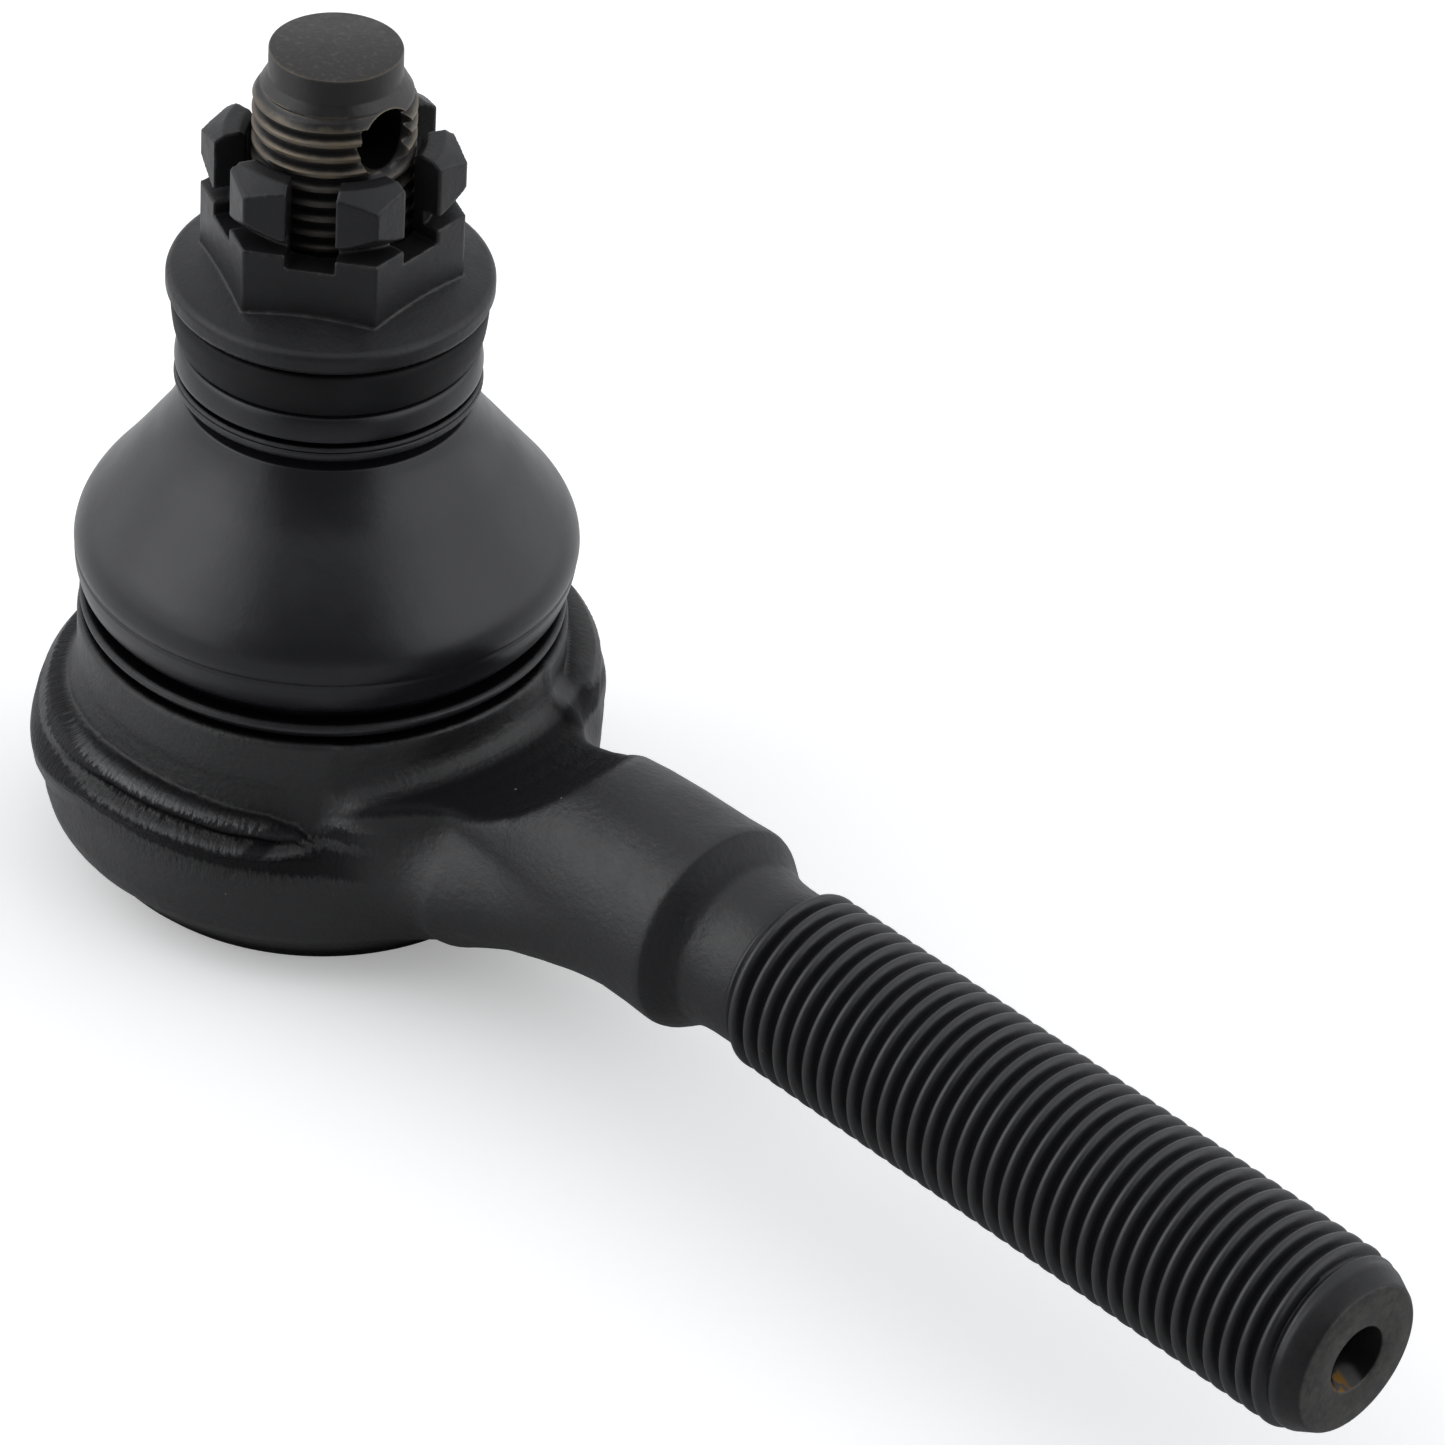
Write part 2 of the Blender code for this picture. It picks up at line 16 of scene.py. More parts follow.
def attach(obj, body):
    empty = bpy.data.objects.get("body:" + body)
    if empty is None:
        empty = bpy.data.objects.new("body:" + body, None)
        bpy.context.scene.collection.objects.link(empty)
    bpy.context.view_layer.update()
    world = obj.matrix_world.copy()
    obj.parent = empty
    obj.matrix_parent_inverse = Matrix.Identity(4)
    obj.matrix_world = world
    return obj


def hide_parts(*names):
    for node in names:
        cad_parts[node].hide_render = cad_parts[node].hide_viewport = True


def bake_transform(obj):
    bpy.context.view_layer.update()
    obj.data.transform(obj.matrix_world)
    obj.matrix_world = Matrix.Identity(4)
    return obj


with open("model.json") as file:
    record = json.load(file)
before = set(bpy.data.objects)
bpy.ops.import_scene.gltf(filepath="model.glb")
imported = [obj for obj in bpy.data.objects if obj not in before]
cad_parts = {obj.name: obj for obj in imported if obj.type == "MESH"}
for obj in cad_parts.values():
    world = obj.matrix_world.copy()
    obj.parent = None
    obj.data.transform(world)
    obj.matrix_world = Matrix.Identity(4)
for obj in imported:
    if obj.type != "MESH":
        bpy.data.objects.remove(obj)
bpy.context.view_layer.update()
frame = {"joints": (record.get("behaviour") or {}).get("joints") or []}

MM = 0.001
PIVOT = next(joint for joint in frame["joints"] if joint["name"] == "stud_tilt")["pos_m"]

# View: where the camera stands round the object
VIEW_AZIMUTH = math.radians(43.9)
VIEW_ELEVATION = math.radians(36.07)
VIEW_ROLL = math.radians(3.58)
VIEW_DISTANCE = 539.36
VIEW_TARGET = (42.63, -0.16, 18.23)
LENS = 188.66

# Driving sizes: M12 x 1.25 stud, M14 x 1.5 shank, 22 mm ball in seats with a little play, 17 mm nut
STUD_CREST, STUD_ROOT, STUD_PITCH = 6.0, 5.27, 1.25
STUD_THREAD_START, STUD_THREAD_END, STUD_TOP = 34.0, 52.2, 54.25
SHANK_CREST, SHANK_ROOT, SHANK_PITCH = 7.0, 6.08, 1.5
SHANK_THREAD_START, SHANK_THREAD_END, SHANK_END = 49.9, 104.2, 106.0
BALL_R, SEAT_R = 11.0, 11.3
UNDERSIDE = -15.5
NUT_ACROSS_FLATS, NUT_SLOT_WIDTH, NUT_CORNER = 17.0, 3.7, math.radians(37.0)
CROSS_HOLE_HEIGHT, CROSS_HOLE_TURN = 48.85, math.radians(1.0)
BOOT_SAG = np.array((0.9, -0.45))


# ---------------------------------------------------------------- shapes from signed distances


def smoothstep(low, high, value):
    t = np.clip((value - low) / (high - low), 0, 1)
    return t * t * (3 - 2 * t)


def soft_min(a, b, k):
    """The union of two distances with a fillet of about k."""
    h = np.clip(0.5 + 0.5 * (b - a) / k, 0, 1)
    return b + (a - b) * h - k * h * (1 - h)


def soft_max(a, b, k):
    """What two distances share, with the edge between them rounded by about k."""
    return -soft_min(-a, -b, k)


class Section:
    """Signed distance from a closed outline, negative inside, looked up on a fine grid."""

    def __init__(self, outline, low, high, step=0.1):
        self.low, self.step = low, step
        u = np.arange(low[0], high[0] + step, step)
        v = np.arange(low[1], high[1] + step, step)
        grid_u, grid_v = np.meshgrid(u, v, indexing="ij")
        nearest = np.full(grid_u.shape, 1e9)
        inside = np.zeros(grid_u.shape, bool)
        points = np.array(outline, float)
        for p, q in zip(points, np.roll(points, -1, axis=0)):
            d = q - p
            from_u, from_v = grid_u - p[0], grid_v - p[1]
            t = np.clip((from_u * d[0] + from_v * d[1]) / max(d @ d, 1e-12), 0, 1)
            nearest = np.minimum(nearest, (from_u - t * d[0]) ** 2 + (from_v - t * d[1]) ** 2)
            if p[1] != q[1]:
                crosses = (p[1] > grid_v) != (q[1] > grid_v)
                inside ^= crosses & (from_u < from_v * d[0] / d[1])
        self.value = np.sqrt(nearest) * np.where(inside, -1, 1)

    def __call__(self, u, v):
        a = np.clip((u - self.low[0]) / self.step, 0, self.value.shape[0] - 1.001)
        b = np.clip((v - self.low[1]) / self.step, 0, self.value.shape[1] - 1.001)
        i, j = a.astype(int), b.astype(int)
        s, t = a - i, b - j
        value = self.value
        near = value[i, j] * (1 - t) + value[i, j + 1] * t
        far = value[i + 1, j] * (1 - t) + value[i + 1, j + 1] * t
        return near * (1 - s) + far * s


def gradient(field, points, h=0.02):
    """The field's slope at each point, by central differences."""
    columns = []
    for axis in range(3):
        step = np.zeros(3)
        step[axis] = h
        columns.append((field(*(points + step).T) - field(*(points - step).T)) / (2 * h))
    return np.stack(columns, axis=1)


def polygonise(field, low, high, step):
    """The zero surface of a field as points and quads: one point per grid cell that the surface crosses."""
    axes = [np.arange(a, b + step, step) for a, b in zip(low, high)]
    grid_y, grid_z = np.meshgrid(axes[1], axes[2], indexing="ij")
    value = np.stack([field(np.full(grid_y.shape, x), grid_y, grid_z) for x in axes[0]])
    inside = value < 0
    corners = [np.array((i, j, k)) for i in (0, 1) for j in (0, 1) for k in (0, 1)]
    cells = tuple(n - 1 for n in value.shape)
    count = np.zeros(cells, np.int8)
    for i, j, k in corners:
        count += inside[i : cells[0] + i, j : cells[1] + j, k : cells[2] + k]
    active = np.argwhere((count > 0) & (count < 8))
    index = np.full(cells, -1)
    index[tuple(active.T)] = np.arange(len(active))
    total, hits = np.zeros((len(active), 3)), np.zeros(len(active))
    for start in corners:
        for axis in range(3):
            if start[axis]:
                continue
            end = start.copy()
            end[axis] = 1
            a, b = value[tuple((active + start).T)], value[tuple((active + end).T)]
            crossing = (a < 0) != (b < 0)
            share = np.where(crossing, a / np.where(crossing, a - b, 1), 0)
            total[crossing] += (start + share[:, None] * (end - start))[crossing]
            hits += crossing
    points = np.array(low) + step * (active + total / hits[:, None])
    quads = []
    for axis in range(3):
        a, b = (axis + 1) % 3, (axis + 2) % 3
        first = np.take(inside, range(value.shape[axis] - 1), axis)
        second = np.take(inside, range(1, value.shape[axis]), axis)
        edges = np.argwhere(first != second)
        kept = (edges[:, a] > 0) & (edges[:, b] > 0)
        kept &= (edges[:, a] < cells[a]) & (edges[:, b] < cells[b])
        edges = edges[kept]
        step_a, step_b = np.eye(3, dtype=int)[a], np.eye(3, dtype=int)[b]
        around = [edges, edges - step_a, edges - step_a - step_b, edges - step_b]
        quad = np.stack([index[tuple(c.T)] for c in around], axis=1)
        outward = first[tuple(edges.T)]
        quads.append(np.where(outward[:, None], quad, quad[:, ::-1]))
    for _ in range(3):
        slope = gradient(field, points)
        length = np.maximum((slope**2).sum(1), 0.05)
        move = field(*points.T) / length
        points -= np.clip(move, -0.4 * step, 0.4 * step)[:, None] * slope
    return points, np.concatenate(quads)


# ---------------------------------------------------------------- meshes


def arc(centre, radius, start, end, steps):
    """Points of an outline along an arc, from one angle to another in degrees."""
    angles = [math.radians(start + (end - start) * i / steps) for i in range(steps + 1)]
    return [(centre[0] + radius * math.cos(a), centre[1] + radius * math.sin(a)) for a in angles]


def rounded(points, steps=7):
    """A smooth curve (Catmull-Rom) through the points of an outline."""
    p = np.array([points[0]] + list(points) + [points[-1]], float)
    out = []
    for i in range(1, len(p) - 2):
        for t in np.arange(steps) / steps:
            a = 2 * p[i]
            b = p[i + 1] - p[i - 1]
            c = 2 * p[i - 1] - 5 * p[i] + 4 * p[i + 1] - p[i + 2]
            d = -p[i - 1] + 3 * p[i] - 3 * p[i + 1] + p[i + 2]
            out.append(tuple(0.5 * (a + b * t + c * t * t + d * t**3)))
    out.append(tuple(p[-1]))
    return out


def lathe(profile, columns, closed=False):
    """A surface of revolution from (radius, height) points, as points and quads."""
    profile = np.array(profile, float)
    turn = np.arange(columns) / columns * math.tau
    x = profile[:, 0, None] * np.cos(turn)
    y = profile[:, 0, None] * np.sin(turn)
    z = np.repeat(profile[:, 1, None], columns, axis=1)
    rows = np.arange(len(profile) if closed else len(profile) - 1)
    c = np.arange(columns)
    a = rows[:, None] * columns + c
    b = rows[:, None] * columns + (c + 1) % columns
    after = (rows + 1) % len(profile)
    d = after[:, None] * columns + c
    e = after[:, None] * columns + (c + 1) % columns
    return np.stack([x, y, z], -1).reshape(-1, 3), np.stack([a, b, e, d], -1).reshape(-1, 4)


def thread(start, end, pitch, radius_at, columns, rows_per_turn=12):
    """A right-hand thread's skin whose rows follow the helix, cut off square at both ends."""
    turns = (end - start) / pitch
    rows = np.arange(-rows_per_turn - 1, int(turns * rows_per_turn) + rows_per_turn + 3)
    turn = np.arange(columns) / columns
    height = start + pitch * (rows[:, None] / rows_per_turn + turn)
    height = np.clip(height, start, end)
    radius = radius_at((rows % rows_per_turn / rows_per_turn)[:, None], height)
    x, y = radius * np.cos(math.tau * turn), radius * np.sin(math.tau * turn)
    points = np.stack([x, y, height], -1).reshape(-1, 3)
    r = np.arange(len(rows) - rows_per_turn - 1)[:, None]
    c = np.arange(columns)[None, :]
    last = c == columns - 1
    after_row = r + np.where(last, rows_per_turn, 0)
    after_column = np.where(last, 0, c + 1)
    a = r * columns + c
    b = after_row * columns + after_column
    faces = np.stack([a, b, b + columns, a + columns], -1).reshape(-1, 4)
    return points, faces


def joined(*chunks):
    """Several lots of points and faces as one."""
    points, faces, count = [], [], 0
    for p, f in chunks:
        points.append(p)
        faces.append(f + count)
        count += len(p)
    return np.concatenate(points), np.concatenate(faces)


def laid_along_x(points):
    """Turns points that run up the stud's axis so that they run along the shank's."""
    return np.stack([points[:, 2], points[:, 1], -points[:, 0]], axis=1)


def new_mesh(name, points, faces):
    """A mesh out of points in millimetres from the ball's centre."""
    mesh = bpy.data.meshes.new(name)
    mesh.from_pydata((points * MM + np.array(PIVOT)).tolist(), [], faces.tolist())
    return mesh


def link_object(name, data):
    obj = bpy.data.objects.new(name, data)
    bpy.context.scene.collection.objects.link(obj)
    return obj


def piece(name, chunk, material, body, node, sharp=35, weld=True, cut=None):
    """Makes a visible piece that rides on a body, or stays where it is when given two, and stands for a node
    of the CAD.
    """
    mesh = new_mesh(name, *chunk)
    if weld:
        builder = bmesh.new()
        builder.from_mesh(mesh)
        bmesh.ops.remove_doubles(builder, verts=builder.verts, dist=2e-6)
        bmesh.ops.dissolve_degenerate(builder, edges=builder.edges, dist=1e-6)
        bmesh.ops.holes_fill(builder, edges=builder.edges, sides=0)
        bmesh.ops.recalc_face_normals(builder, faces=builder.faces)
        builder.to_mesh(mesh)
        builder.free()
    obj = link_object(name, mesh)
    if cut:
        cut(obj)
        mesh = obj.data
    mesh.shade_smooth()
    if sharp:
        mesh.set_sharp_from_angle(angle=math.radians(sharp))
    mesh.materials.clear()
    mesh.materials.append(material)
    if isinstance(body, str):
        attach(obj, body)
    else:
        at = Vector(PIVOT)
        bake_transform(obj)
    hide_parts(node)


# ---------------------------------------------------------------- finishes


class Finish:
    """A Principled material with helpers for procedural detail. Lengths are in millimetres."""

    def __init__(self, name):
        self.material = bpy.data.materials.new(name)
        self.material.use_nodes = True
        self.tree = self.material.node_tree
        self.shader = self.tree.nodes["Principled BSDF"]
        self.coordinates = self.tree.nodes.new("ShaderNodeTexCoord").outputs["Object"]

    def link(self, a, b):
        self.tree.links.new(a, b)

    def math(self, operation, a, b=0.0, c=0.0, clamp=False):
        node = self.tree.nodes.new("ShaderNodeMath")
        node.operation = operation
        node.use_clamp = clamp
        for socket, value in zip(node.inputs, (a, b, c)):
            if isinstance(value, bpy.types.NodeSocket):
                self.link(value, socket)
            else:
                socket.default_value = value
        return node.outputs[0]

    def scaled(self, value, gain, offset=0.0):
        return self.math("MULTIPLY_ADD", value, gain, offset)

    def times(self, first, *others):
        """The product of all the values."""
        for other in others:
            first = self.math("MULTIPLY", first, other)
        return first

    def radius(self, a, b):
        """The distance from an axis, out of the two coordinates across it."""
        return self.math("SQRT", self.math("ADD", self.times(a, a), self.times(b, b)))

    def axes(self):
        """x, y and z in millimetres from the ball's centre."""
        node = self.tree.nodes.new("ShaderNodeSeparateXYZ")
        self.link(self.coordinates, node.inputs[0])
        return [self.math("MULTIPLY_ADD", out, 1 / MM, -p / MM) for out, p in zip(node.outputs, PIVOT)]

    def vector(self, x, y, z):
        node = self.tree.nodes.new("ShaderNodeCombineXYZ")
        for socket, value in zip(node.inputs, (x, y, z)):
            if isinstance(value, bpy.types.NodeSocket):
                self.link(value, socket)
            else:
                socket.default_value = value
        return node.outputs[0]

    def noise(self, period, detail=3.0, roughness=0.55, vector=None, stretch=None):
        """Noise from 0 to 1 whose features are about period millimetres across."""
        node = self.tree.nodes.new("ShaderNodeTexNoise")
        node.inputs["Detail"].default_value = detail
        node.inputs["Roughness"].default_value = roughness
        if vector is None:
            scale = self.tree.nodes.new("ShaderNodeVectorMath")
            scale.operation = "MULTIPLY"
            self.link(self.coordinates, scale.inputs[0])
            scale.inputs[1].default_value = [s / (period * MM) for s in (stretch or (1, 1, 1))]
            vector = scale.outputs[0]
            node.inputs["Scale"].default_value = 1.0
        else:
            node.inputs["Scale"].default_value = 1 / period
        self.link(vector, node.inputs["Vector"])
        return node.outputs["Fac"]

    def ramp(self, value, low, high, start=0.0, end=1.0):
        node = self.tree.nodes.new("ShaderNodeMapRange")
        node.interpolation_type = "SMOOTHSTEP"
        self.link(value, node.inputs["Value"])
        for name, number in (("From Min", low), ("From Max", high), ("To Min", start), ("To Max", end)):
            node.inputs[name].default_value = number
        return node.outputs["Result"]

    def band(self, value, low, full_from, full_to, high):
        """1 between the two middle values, fading to 0 at low and at high."""
        return self.times(self.ramp(value, low, full_from), self.ramp(value, high, full_to))

    def mix(self, factor, a, b):
        node = self.tree.nodes.new("ShaderNodeMix")
        node.data_type = "RGBA"
        for socket, value in zip((node.inputs[0], node.inputs[6], node.inputs[7]), (factor, a, b)):
            if isinstance(value, bpy.types.NodeSocket):
                self.link(value, socket)
            elif isinstance(value, float):
                socket.default_value = value
            else:
                socket.default_value = (*value, 1.0)
        return node.outputs[2]

    def specks(self, period, share, size):
        """Sparse dots: 1 on a speck, 0 elsewhere."""
        node = self.tree.nodes.new("ShaderNodeTexVoronoi")
        scale = self.tree.nodes.new("ShaderNodeVectorMath")
        scale.operation = "SCALE"
        self.link(self.coordinates, scale.inputs[0])
        scale.inputs["Scale"].default_value = 1 / (period * MM)
        self.link(scale.outputs[0], node.inputs["Vector"])
        node.inputs["Scale"].default_value = 1.0
        pick = self.tree.nodes.new("ShaderNodeSeparateColor")
        self.link(node.outputs["Color"], pick.inputs[0])
        chosen = self.math("GREATER_THAN", pick.outputs[0], 1 - share)
        wide = self.math("MULTIPLY_ADD", pick.outputs[1], 0.8 * size, 0.4 * size)
        near = self.math("LESS_THAN", node.outputs["Distance"], wide)
        return self.math("MULTIPLY", chosen, near)

    def edges(self, radius, low, high):
        """1 on convex edges, from how far a rounded normal turns from the true one."""
        bevel = self.tree.nodes.new("ShaderNodeBevel")
        bevel.samples = 4
        bevel.inputs["Radius"].default_value = radius * MM
        geometry = self.tree.nodes.new("ShaderNodeNewGeometry")
        dot = self.tree.nodes.new("ShaderNodeVectorMath")
        dot.operation = "DOT_PRODUCT"
        self.link(bevel.outputs[0], dot.inputs[0])
        self.link(geometry.outputs["Normal"], dot.inputs[1])
        return self.ramp(dot.outputs["Value"], high, low)

    def crevice(self, reach, low=0.2, high=0.75):
        """0 deep in a crevice, 1 in the open."""
        node = self.tree.nodes.new("ShaderNodeAmbientOcclusion")
        node.samples = 6
        node.inputs["Distance"].default_value = reach * MM
        return self.ramp(node.outputs["AO"], low, high)

    def set(self, name, value):
        socket = self.shader.inputs[name]
        if isinstance(value, bpy.types.NodeSocket):
            self.link(value, socket)
        elif isinstance(value, tuple):
            socket.default_value = (*value, 1.0)
        else:
            socket.default_value = value

    def bump(self, *layers):
        """Layers of (height socket, depth in millimetres)."""
        normal = None
        for height, depth in layers:
            node = self.tree.nodes.new("ShaderNodeBump")
            node.inputs["Strength"].default_value = 1.0
            node.inputs["Distance"].default_value = depth * MM
            self.link(height, node.inputs["Height"])
            if normal:
                self.link(normal, node.inputs["Normal"])
            normal = node.outputs[0]
        self.link(normal, self.shader.inputs["Normal"])


def coat_base(name, tone, roughness, grain_depth):
    """A thin black coat: clouded and specked, with painted shade in its crevices on its colour and on its
    gloss. Gives back its gloss and bump layers too.
    """
    finish = Finish(name)
    base = finish.mix(finish.noise(9.0, 4), tuple(0.75 * t for t in tone), tuple(1.35 * t for t in tone))
    base = finish.mix(finish.specks(3.4, 0.07, 0.035), base, (0.22, 0.21, 0.18))
    # painted shade: the base colour goes near black deep in crevices
    finish.set("Base Color", finish.mix(finish.crevice(3.0, 0.4, 1.0), (0.002, 0.002, 0.0025), base))
    rough = finish.scaled(finish.noise(3.0, 4), 0.2, roughness - 0.1)
    finish.set("Roughness", finish.scaled(finish.noise(0.5, 3), 0.12, rough))
    # painted shade: the gloss is cut in crevices
    gloss = finish.scaled(finish.crevice(3.0, 0.55, 1.0), 0.6, 0.02)
    layers = [(finish.noise(0.42, 3, 0.6), grain_depth), (finish.noise(1.3, 4), 0.07)]
    return finish, gloss, layers


def black_coat(name, tone, roughness):
    finish, gloss, layers = coat_base(name, tone, roughness, 0.03)
    finish.set("Specular IOR Level", gloss)
    finish.bump(*layers)
    return finish.material


def recess_floor_shade(finish, x, y, z, radius):
    """Painted shade: 1 along the bottom of the recess that the arm's top carries round the boot, with a
    ragged edge.
    """
    climb = finish.math("MAXIMUM", finish.math("SUBTRACT", radius, 22.0), 0.0)
    height = finish.scaled(finish.times(climb, climb), -0.068, finish.math("SUBTRACT", z, 2.1))
    slant = finish.math("DIVIDE", y, finish.math("MAXIMUM", x, 1.0))
    height = finish.scaled(finish.times(slant, slant), 2.2, height)
    off = finish.scaled(finish.noise(0.6, 4), 0.6, finish.math("ABSOLUTE", height))
    near = finish.times(finish.ramp(off, 1.3, 0.75), finish.ramp(radius, 19.7, 20.4))
    return finish.times(near, finish.ramp(x, 9.0, 12.0))


def forged_coat(name, tone, roughness):
    """The coat on the forging, with a streaked collar that has a painted highlight on its top and ragged
    bands of painted shade below; the recess floor and the arm's shoulder get painted shade too.
    """
    finish, gloss, layers = coat_base(name, tone, roughness, 0.06)
    x, y, z = finish.axes()
    radius = finish.radius(x, y)
    outer = finish.ramp(finish.scaled(z, -0.25, radius), 19.2, 20.2)
    collar = finish.times(finish.band(z, -7.2, -5.4, -0.6, 0.2), outer, finish.ramp(x, 19.0, 16.0))
    length_round = finish.times(finish.math("ARCTAN2", y, x), 20.0)
    streaks = finish.noise(0.38, 3, 0.65, vector=finish.vector(length_round, 0.0, finish.times(z, 0.45)))
    layers.append((finish.times(streaks, collar), 0.2))
    ragged = finish.scaled(streaks, 1.4, z)
    # painted shade in the groove between the collar's beads and under the lower bead
    groove = finish.band(ragged, -1.35, -1.05, -0.3, -0.05)
    under = finish.band(ragged, -4.5, -4.0, -2.05, -1.75)
    # painted shade on the arm's shoulder cone
    shoulder = finish.times(finish.band(x, 43.1, 43.4, 45.4, 46.2), 0.6)
    # painted shade: the gloss is cut in these bands, on the recess floor and on the shoulder cone
    painted_shade = finish.times(finish.math("MAXIMUM", groove, under), collar)
    for other in (recess_floor_shade(finish, x, y, z, radius), shoulder):
        painted_shade = finish.math("MAXIMUM", painted_shade, other)
    # painted highlight: the gloss is raised on the collar's top
    bright = finish.scaled(finish.times(collar, finish.ramp(z, -2.2, -1.4)), 0.7, 1.0)
    finish.set("Specular IOR Level", finish.times(gloss, finish.scaled(painted_shade, -0.85, 1.0), bright))
    finish.bump(*layers)
    return finish.material


def rubber(name, tone, roughness, shine=0.5):
    """Black rubber with a grey haze and a few grains of dust, with painted shade on its gloss in crevices."""
    finish = Finish(name)
    dust = finish.math("MAXIMUM", finish.specks(2.6, 0.1, 0.03), finish.specks(4.2, 0.12, 0.03))
    haze = finish.ramp(finish.noise(5.0, 5), 0.45, 0.8)
    base = finish.mix(haze, tone, tuple(1.6 * t for t in tone))
    finish.set("Base Color", finish.mix(dust, base, (0.16, 0.16, 0.15)))
    finish.set("Roughness", finish.scaled(finish.noise(4.0, 4), 0.14, roughness - 0.07))
    # painted shade: the gloss is cut in crevices
    finish.set("Specular IOR Level", finish.scaled(finish.crevice(3.0), 0.85 * shine, 0.15 * shine))
    finish.bump((finish.noise(0.3, 2), 0.006), (finish.noise(2.5, 3), 0.03))
    return finish.material


def stud_steel(name):
    """Black oxide, rubbed through to metal on the thread crests and on the point's rim, with a dusty top; the
    cross hole is painted black as shade, and crevices get painted shade on the gloss.
    """
    finish = Finish(name)
    x, y, z = finish.axes()
    radius = finish.radius(x, y)
    rubbed = finish.scaled(finish.noise(1.1, 4), 0.5, radius)
    crest = finish.ramp(rubbed, STUD_CREST - 0.14, STUD_CREST + 0.2)
    crest = finish.times(crest, finish.ramp(z, 33.0, 34.5))
    worn = finish.times(finish.math("MAXIMUM", crest, finish.edges(0.25, 0.9, 0.985)), 0.85)
    worn = finish.times(worn, finish.crevice(2.5, 0.3, 0.8), finish.ramp(z, 45.5, 47.5, 0.3, 1.0))
    brass = finish.mix(finish.noise(2.3, 3), (0.16, 0.115, 0.06), (0.17, 0.16, 0.145))
    top = finish.ramp(z, STUD_TOP - 0.15, STUD_TOP - 0.03)
    dusty = finish.times(top, finish.scaled(finish.ramp(finish.noise(0.45, 4), 0.5, 0.72), 0.5, 0.05))
    base = finish.mix(finish.noise(6.0, 4), (0.009, 0.0085, 0.0085), (0.02, 0.018, 0.017))
    base = finish.mix(dusty, base, (0.075, 0.066, 0.057))
    # painted shade: inside the cross hole the colour goes black
    bore = finish.times(finish.ramp(radius, 5.2, 5.0), finish.ramp(z, 51.6, 51.3))
    finish.set("Base Color", finish.mix(bore, finish.mix(worn, base, brass), (0.003, 0.003, 0.003)))
    finish.set("Metallic", finish.times(worn, 0.8))
    # painted shade: the gloss is cut in crevices and inside the cross hole
    shine = finish.scaled(finish.crevice(3.0), 0.45, 0.05)
    finish.set("Specular IOR Level", finish.times(shine, finish.math("SUBTRACT", 1.0, bore)))
    finish.set("Roughness", finish.scaled(finish.noise(0.8, 4), 0.3, 0.22))
    finish.bump((finish.noise(0.25, 3), 0.012), (finish.noise(1.4, 3), 0.03))
    return finish.material


def shank_steel(name):
    """The forging's coat, brighter on the crests, with bare flecks, a dusty end and a rusty centre hole. The
    hole is painted near black as shade, with a painted glint low inside it, and the gloss carries painted
    shade in crevices, in the hole and on the end chamfer.
    """
    finish = Finish(name)
    x, y, z = finish.axes()
    radius = finish.radius(y, z)
    rubbed = finish.scaled(finish.noise(2.0, 4), 0.25, radius)
    crest = finish.ramp(rubbed, SHANK_CREST - 0.05, SHANK_CREST + 0.2)
    crest = finish.times(crest, finish.ramp(x, 50.0, 51.0))
    base = finish.mix(finish.noise(9.0, 4), (0.008, 0.008, 0.0095), (0.014, 0.014, 0.016))
    base = finish.mix(finish.times(crest, 0.5), base, (0.07, 0.07, 0.07))
    base = finish.mix(finish.times(finish.specks(1.9, 0.06, 0.05), crest), base, (0.34, 0.28, 0.1))
    face = finish.ramp(x, SHANK_END - 0.15, SHANK_END - 0.02)
    chamfer = finish.ramp(x, SHANK_END - 1.8, SHANK_END - 1.3)
    dusty = finish.scaled(face, 0.34, finish.times(chamfer, 0.06))
    dusty = finish.times(dusty, finish.ramp(finish.noise(0.7, 6, 0.7), 0.3, 0.7))
    base = finish.mix(dusty, base, (0.09, 0.084, 0.062))
    # painted shade: the centre hole's colour goes near black
    hole = finish.times(finish.ramp(radius, 2.9, 2.8), finish.ramp(x, SHANK_END - 0.03, SHANK_END - 0.15))
    base = finish.mix(hole, base, (0.006, 0.006, 0.006))
    # painted glint: a lighter patch low in the centre hole
    glint = finish.times(hole, finish.ramp(z, -1.5, -1.9), finish.ramp(y, 1.2, 0.6))
    base = finish.mix(glint, base, (0.06, 0.06, 0.06))
    blotches = finish.ramp(finish.noise(0.9, 4), 0.44, 0.56)
    rust = finish.times(hole, finish.ramp(y, 0.1, -0.4), blotches, finish.ramp(z, 0.6, 0.1))
    finish.set("Base Color", finish.mix(rust, base, (0.17, 0.09, 0.02)))
    finish.set("Metallic", finish.times(crest, 0.3))
    # painted shade: the gloss is cut in crevices, by half on the end chamfer and nearly all in the centre
    # hole
    gloss = finish.scaled(finish.crevice(2.5), 0.45, 0.1)
    chamfer_shade = finish.times(chamfer, finish.math("SUBTRACT", 1.0, face))
    gloss = finish.times(gloss, finish.scaled(chamfer_shade, -0.5, 1.0), finish.scaled(hole, -0.85, 1.0))
    finish.set("Specular IOR Level", gloss)
    finish.set("Roughness", finish.scaled(finish.noise(1.2, 4), 0.26, 0.24))
    finish.bump((finish.noise(0.3, 2), 0.01), (finish.noise(1.8, 3), 0.03))
    return finish.material


